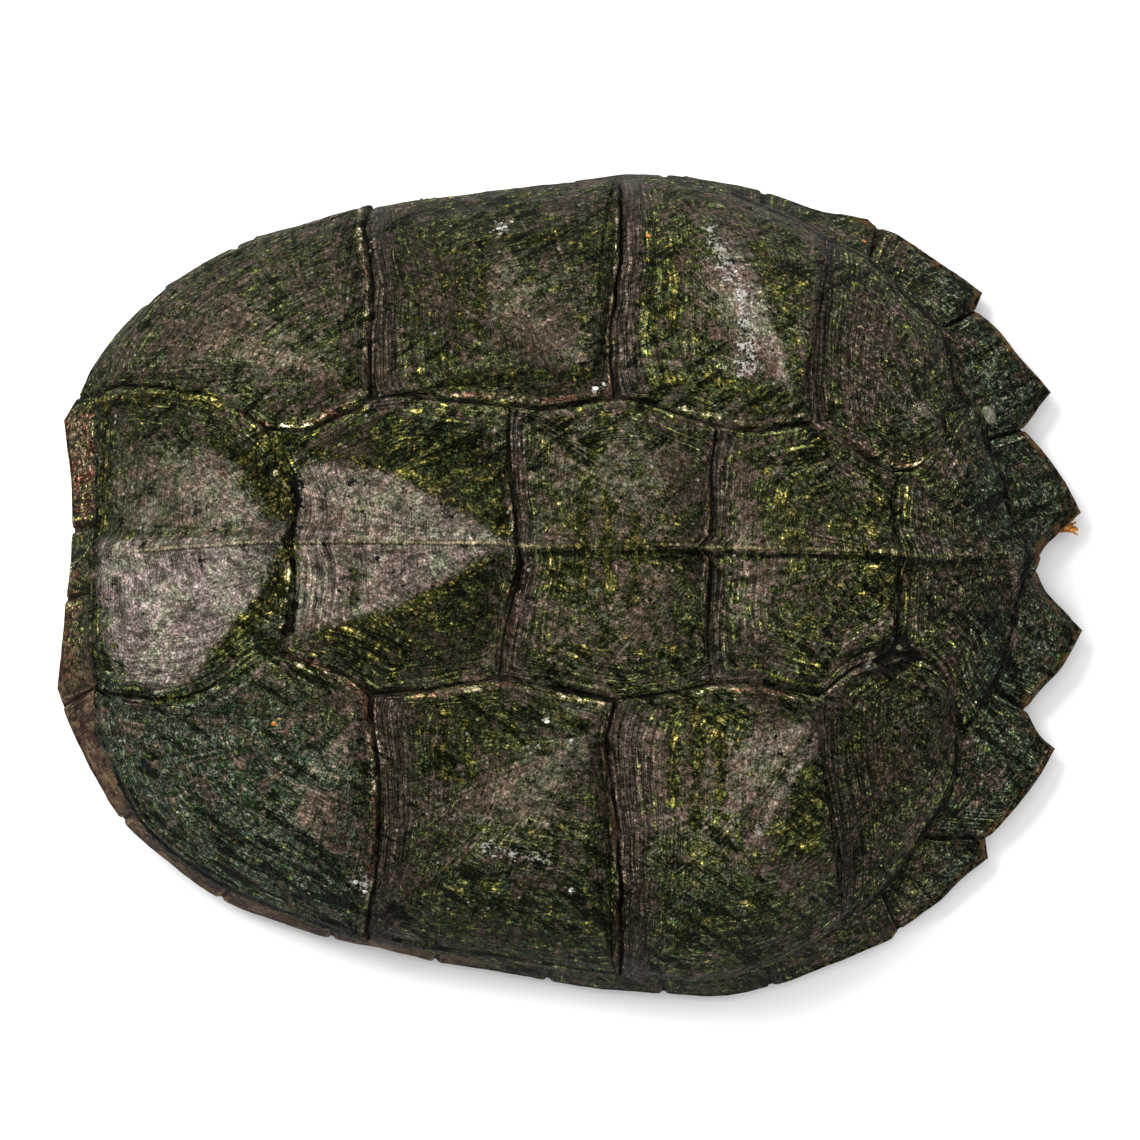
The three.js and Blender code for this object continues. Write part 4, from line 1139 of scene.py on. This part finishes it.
def bone_material():
    """Dry bone inside: fine grain, stains, and the dark sutures that run between the ribs."""
    made, tree, shader = material("inner_bone")
    level, total = tree.level, tree.total
    where = tree.where()
    x, y, z = tree.axes(where)
    stain = tree.rough_noise(where, 22, 5)
    mottle = tree.rough_noise(where, 120, 4)
    grain = tree.rough_noise(tree.mapping(where, scale=(1, 0.12, 1)), 900, 3)
    zigzag = tree.times(tree.rough_noise(where, 260, 2), 0.0016)
    between_ribs = tree.plus(tree.plus(x, (RIB_SPACING / 2 - RIB_START) * MM), zigzag)
    off_seam = tree.math("PINGPONG", between_ribs, RIB_SPACING / 2 * MM)
    aside = tree.math("ABSOLUTE", tree.math("SUBTRACT", y, SPINE_Y * MM))
    off_spine = tree.math("ABSOLUTE", total(-0.0095, (aside, 1.0), (zigzag, 1.0)))
    off_rim = tree.math("ABSOLUTE", total(-0.034, (z, 1.0), (zigzag, 1.0)))
    outer = tree.times(level(off_seam, 0.0007, 0.0002), level(aside, 0.0085, 0.0105))
    suture = tree.math("MAXIMUM", outer, level(off_spine, 0.0007, 0.0002))
    suture = tree.times(suture, level(z, 0.033, 0.036))
    suture = tree.math("MAXIMUM", suture, level(off_rim, 0.0007, 0.0002))
    colour = tree.ramp(total(0.5, (stain, 0.2), (mottle, 0.08), (grain, 0.06), (suture, -0.4)), *BONE)
    height = total(0.0, (grain, 0.12), (mottle, 0.15), (suture, -0.6))
    dress(tree, shader, colour, 0.65, 0.3, height, 0.0006)
    return made


shell_mesh.materials.append(horn_material())
shell_mesh.materials.append(bone_material())
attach(shell, "root")
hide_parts("carapace")


# ---------------------------------------------------------------- moss that stands up from the horn

MOSS_TINTS = (
    (0.0, (0.004, 0.008, 0.004)), (0.4, (0.022, 0.028, 0.009)),
    (0.75, (0.076, 0.067, 0.018)), (1.0, (0.155, 0.120, 0.036)),
)
CLUMP_DRIFT = 0.7
CLUMP_SINK = 0.1  # how deep a clump's middle sits
CLUMP_LUMPS = 1.1
CLUMP_UNEVENNESS = 0.55
CLUMPS_AT_ONCE = 60  # a bmesh grows slow when it is large, so the clumps are made in batches


def moss_material():
    made, tree, shader = material("moss")
    where = tree.where()
    grain = tree.rough_noise(where, 900, 3)
    fresh, = tree.attributes("fresh")
    colour = tree.ramp(tree.total(0.0, (fresh, 1.0), (grain, 0.2)), *MOSS_TINTS)
    colour = tree.brighten(colour, 3.8, grain)
    dress(tree, shader, colour, tree.total(0.85, (grain, 0.1)), 0.03, grain, 0.0007)
    return made


horn_surface = BVHTree.FromPolygons(
    [Vector(p) for p in place], [tuple(face.vertices) for face in shell_mesh.polygons])


def clump_matrix(chance, up, at, size, drift=CLUMP_DRIFT):
    """Where one clump sits on the horn: flattened along up, and turned and stretched by chance."""
    sideways = Vector((1, 0, 0)).cross(up).normalized()
    axes = Matrix((sideways, up.cross(sideways), up)).transposed().to_4x4()
    aside = axes @ Vector((chance.normal(0, 1) * drift, chance.normal(0, 1) * drift, 0))
    foot = horn_surface.find_nearest(at + aside)[0] - CLUMP_SINK * up
    shape = Matrix.Diagonal((size * chance.uniform(0.7, 1.6), size, size * chance.uniform(0.4, 0.8), 1))
    return Matrix.Translation(foot) @ axes @ Matrix.Rotation(chance.uniform(0, 6.28), 4, "Z") @ shape


def grow_moss(number=4200, seed=5):
    """Small flattened clumps, crowded where the moss is thick and few elsewhere."""
    chance = np.random.default_rng(seed)
    thick = np.minimum(masks["moss"], 1) * outside
    thin = outside * (1 - masks["pale"]) * (1 - masks["band"]) * (place[:, 2] > 25)
    clustering = np.array([noise.noise(Vector(p) * 0.14) + 0.5 * noise.noise(Vector(p) * 0.4) for p in place])
    # A vertex stands for the area round it, and the webs crowd towards the oldest points.
    area = np.zeros(count)
    for polygon in shell_mesh.polygons:
        for vertex in polygon.vertices:
            area[vertex] += polygon.area / 4
    weight = area * (thick**1.5 * 2.2 + 0.15 * thin) * smoothstep(clustering, -0.2, 0.35)
    chosen = chance.choice(count, number, p=weight / weight.sum())
    moss = bmesh.new()
    batch = bpy.data.meshes.new("moss_batch")
    for first in range(0, number, CLUMPS_AT_ONCE):
        part = bmesh.new()
        fresh_layer = part.verts.layers.float.new("fresh")
        for vertex in chosen[first:first + CLUMPS_AT_ONCE]:
            size = chance.uniform(0.35, 0.9) * (0.72 + 0.4 * thick[vertex] ** 2)
            matrix = clump_matrix(chance, Vector(normals[vertex]), Vector(place[vertex]), size)
            clump = bmesh.ops.create_icosphere(part, subdivisions=1, radius=1, matrix=matrix)["verts"]
            fresh = np.clip(0.22 + 0.4 * thick[vertex] + chance.normal(0, 0.22), 0, 1)
            middle = noise.noise_vector(matrix.translation * CLUMP_LUMPS)
            for vert in clump:
                sway = noise.noise_vector(vert.co * CLUMP_LUMPS) - middle
                vert.co = (vert.co + sway * CLUMP_UNEVENNESS) * MM
                vert.co.z = min(vert.co.z, solid_box[1][2])
                vert[fresh_layer] = fresh
        part.to_mesh(batch)
        part.free()
        moss.from_mesh(batch)
    bpy.data.meshes.remove(batch)
    for face in moss.faces:
        face.smooth = True
    clumps = piece_from("moss_clumps", moss)
    clumps.data.materials.append(moss_material())
    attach(clumps, "root")


grow_moss()


# ---------------------------------------------------------------- grit and torn fibres on the horn

PALE, WHITE, ORANGE = range(3)
GRIT_TINTS = {
    "pale_grit": (0.12, 0.115, 0.08), "white_grit": (0.42, 0.41, 0.36), "orange_fibre": (0.33, 0.14, 0.032),
}
GRIT = [  # x, y, radius, tint
    (131, 48, 2.3, PALE), (-88, -51, 0.9, ORANGE), (-86, -50, 0.6, ORANGE), (24, 98, 0.8, ORANGE),
    (92, 105, 0.9, ORANGE), (8, 47, 0.8, WHITE), (10, 48.5, 0.5, WHITE), (0, -57, 0.6, WHITE),
    (-7, -51, 0.6, WHITE), (0, -100, 0.6, WHITE), (-64, -97, 0.8, WHITE), (-62, -100, 0.7, WHITE),
    (-21, 101, 0.7, WHITE), (-18, 103, 0.5, WHITE), (49, 86, 0.5, WHITE), (89, -31, 1.5, PALE),
    (91.5, -30, 0.9, PALE), (99.5, -28, 0.9, PALE), (104, -26, 0.7, PALE), (-120, -88, 0.6, PALE),
    (64, -77, 0.6, PALE), (38, 20, 0.5, PALE), (-40, 66, 0.5, PALE), (113, 24, 0.5, PALE),
]
FIBRES = 14


def on_the_horn(x, y):
    """The outer surface's place and direction nearest to a place in plan."""
    nearest = np.abs(np.where(outside, plan - complex(x, y), 1e6)).argmin()
    return Vector(place[nearest]), Vector(normals[nearest])


def grit_material(name, colour):
    made, tree, shader = material(name)
    where = tree.where()
    dress(tree, shader, tree.brighten(colour, 2.5, tree.rough_noise(where, 900, 3)), 0.8, 0.1)
    return made


def tint_faces(verts, tint, smooth):
    for face in {face for vert in verts for face in vert.link_faces}:
        face.material_index = tint
        face.smooth = smooth


def scatter_grit(seed=3):
    chance = np.random.default_rng(seed)
    grit = bmesh.new()
    for x, y, radius, tint in GRIT:
        at, up = on_the_horn(x, y)
        matrix = clump_matrix(chance, up, at, radius, drift=0)
        lump = bmesh.ops.create_icosphere(grit, subdivisions=2, radius=1, matrix=matrix)["verts"]
        for vert in lump:
            vert.co += noise.noise_vector(vert.co / radius) * 0.25 * radius
        tint_faces(lump, tint, smooth=True)
    # A frayed wisp of fibres at the edge of the tooth right of the tail notch.
    for _ in range(FIBRES):
        start = Vector((153.5 + chance.normal(0, 0.8), 15.5 + chance.normal(0, 1.0), 10.2))
        start = horn_surface.find_nearest(start)[0]
        end = Vector((chance.uniform(156, 159.3), 15.5 + chance.normal(0, 1.3), chance.uniform(8.5, 12)))
        way = end - start
        matrix = Matrix.Translation((start + end) / 2) @ way.to_track_quat("Z", "Y").to_matrix().to_4x4()
        fibre = bmesh.ops.create_cone(grit, cap_ends=True, segments=5, radius1=0.65, radius2=0.3,
                                      depth=way.length, matrix=matrix)["verts"]
        tint_faces(fibre, ORANGE, smooth=False)
    low, high = (Vector(corner) for corner in solid_box)
    for vert in grit.verts:
        vert.co = Vector(np.clip(vert.co * MM, low, high))
    bits = piece_from("grit_and_fibres", grit)
    for name, colour in GRIT_TINTS.items():
        bits.data.materials.append(grit_material(name, colour))
    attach(bits, "root")


scatter_grit()


# ---------------------------------------------------------------- floor, light and camera

WORLD_LIGHT = 0.3
LAMPS = {  # place in metres, size in metres, power in watts
    "key": ((-0.66, 0.5, 1.15), 0.7, 26.0),
    "top": ((0.2, -0.1, 1.6), 1.4, 20.0),
}
CAMERA_AWAY = 1.4  # metres from the middle of the rim
CAMERA_TILT = math.radians(6)
PICTURE = 1140  # the picture's side, in the unit of the next two
FOCAL_LENGTH = 4448
PICTURE_SHIFT = 9.3
SENSOR = 36


def lay_floor():
    plane = bmesh.new()
    bmesh.ops.create_grid(plane, x_segments=1, y_segments=1, size=3)
    floor = piece_from("floor", plane)
    floor.location.z = -0.0002
    paper, _, shader = material("pale_floor")
    shader.inputs["Base Color"].default_value = (0.9, 0.9, 0.9, 1)
    shader.inputs["Roughness"].default_value = 0.9
    floor.data.materials.append(paper)


def light_it():
    world = bpy.data.worlds.new("studio")
    world.use_nodes = True
    background = world.node_tree.nodes["Background"].inputs
    background["Color"].default_value = (1, 1, 1, 1)
    background["Strength"].default_value = WORLD_LIGHT
    bpy.context.scene.world = world
    for name, (position, size, power) in LAMPS.items():
        light = bpy.data.lights.new(name, "AREA")
        light.energy = power
        light.size = size
        lamp = bpy.data.objects.new(name, light)
        lamp.location = position
        lamp.rotation_euler = (-Vector(position)).to_track_quat("-Z", "Y").to_euler()
        bpy.context.collection.objects.link(lamp)


def look_down():
    """A camera almost straight above, a little on the animal's left."""
    lens = bpy.data.cameras.new("camera")
    lens.sensor_width = SENSOR
    lens.lens = SENSOR * FOCAL_LENGTH / PICTURE
    lens.shift_y = PICTURE_SHIFT / PICTURE
    camera = bpy.data.objects.new("camera", lens)
    camera.location = (0, -CAMERA_AWAY * math.sin(CAMERA_TILT), CAMERA_AWAY * math.cos(CAMERA_TILT))
    camera.rotation_euler = (CAMERA_TILT, 0, 0)
    bpy.context.collection.objects.link(camera)
    bpy.context.scene.camera = camera


lay_floor()
light_it()
look_down()
bpy.context.scene.view_settings.view_transform = "Standard"
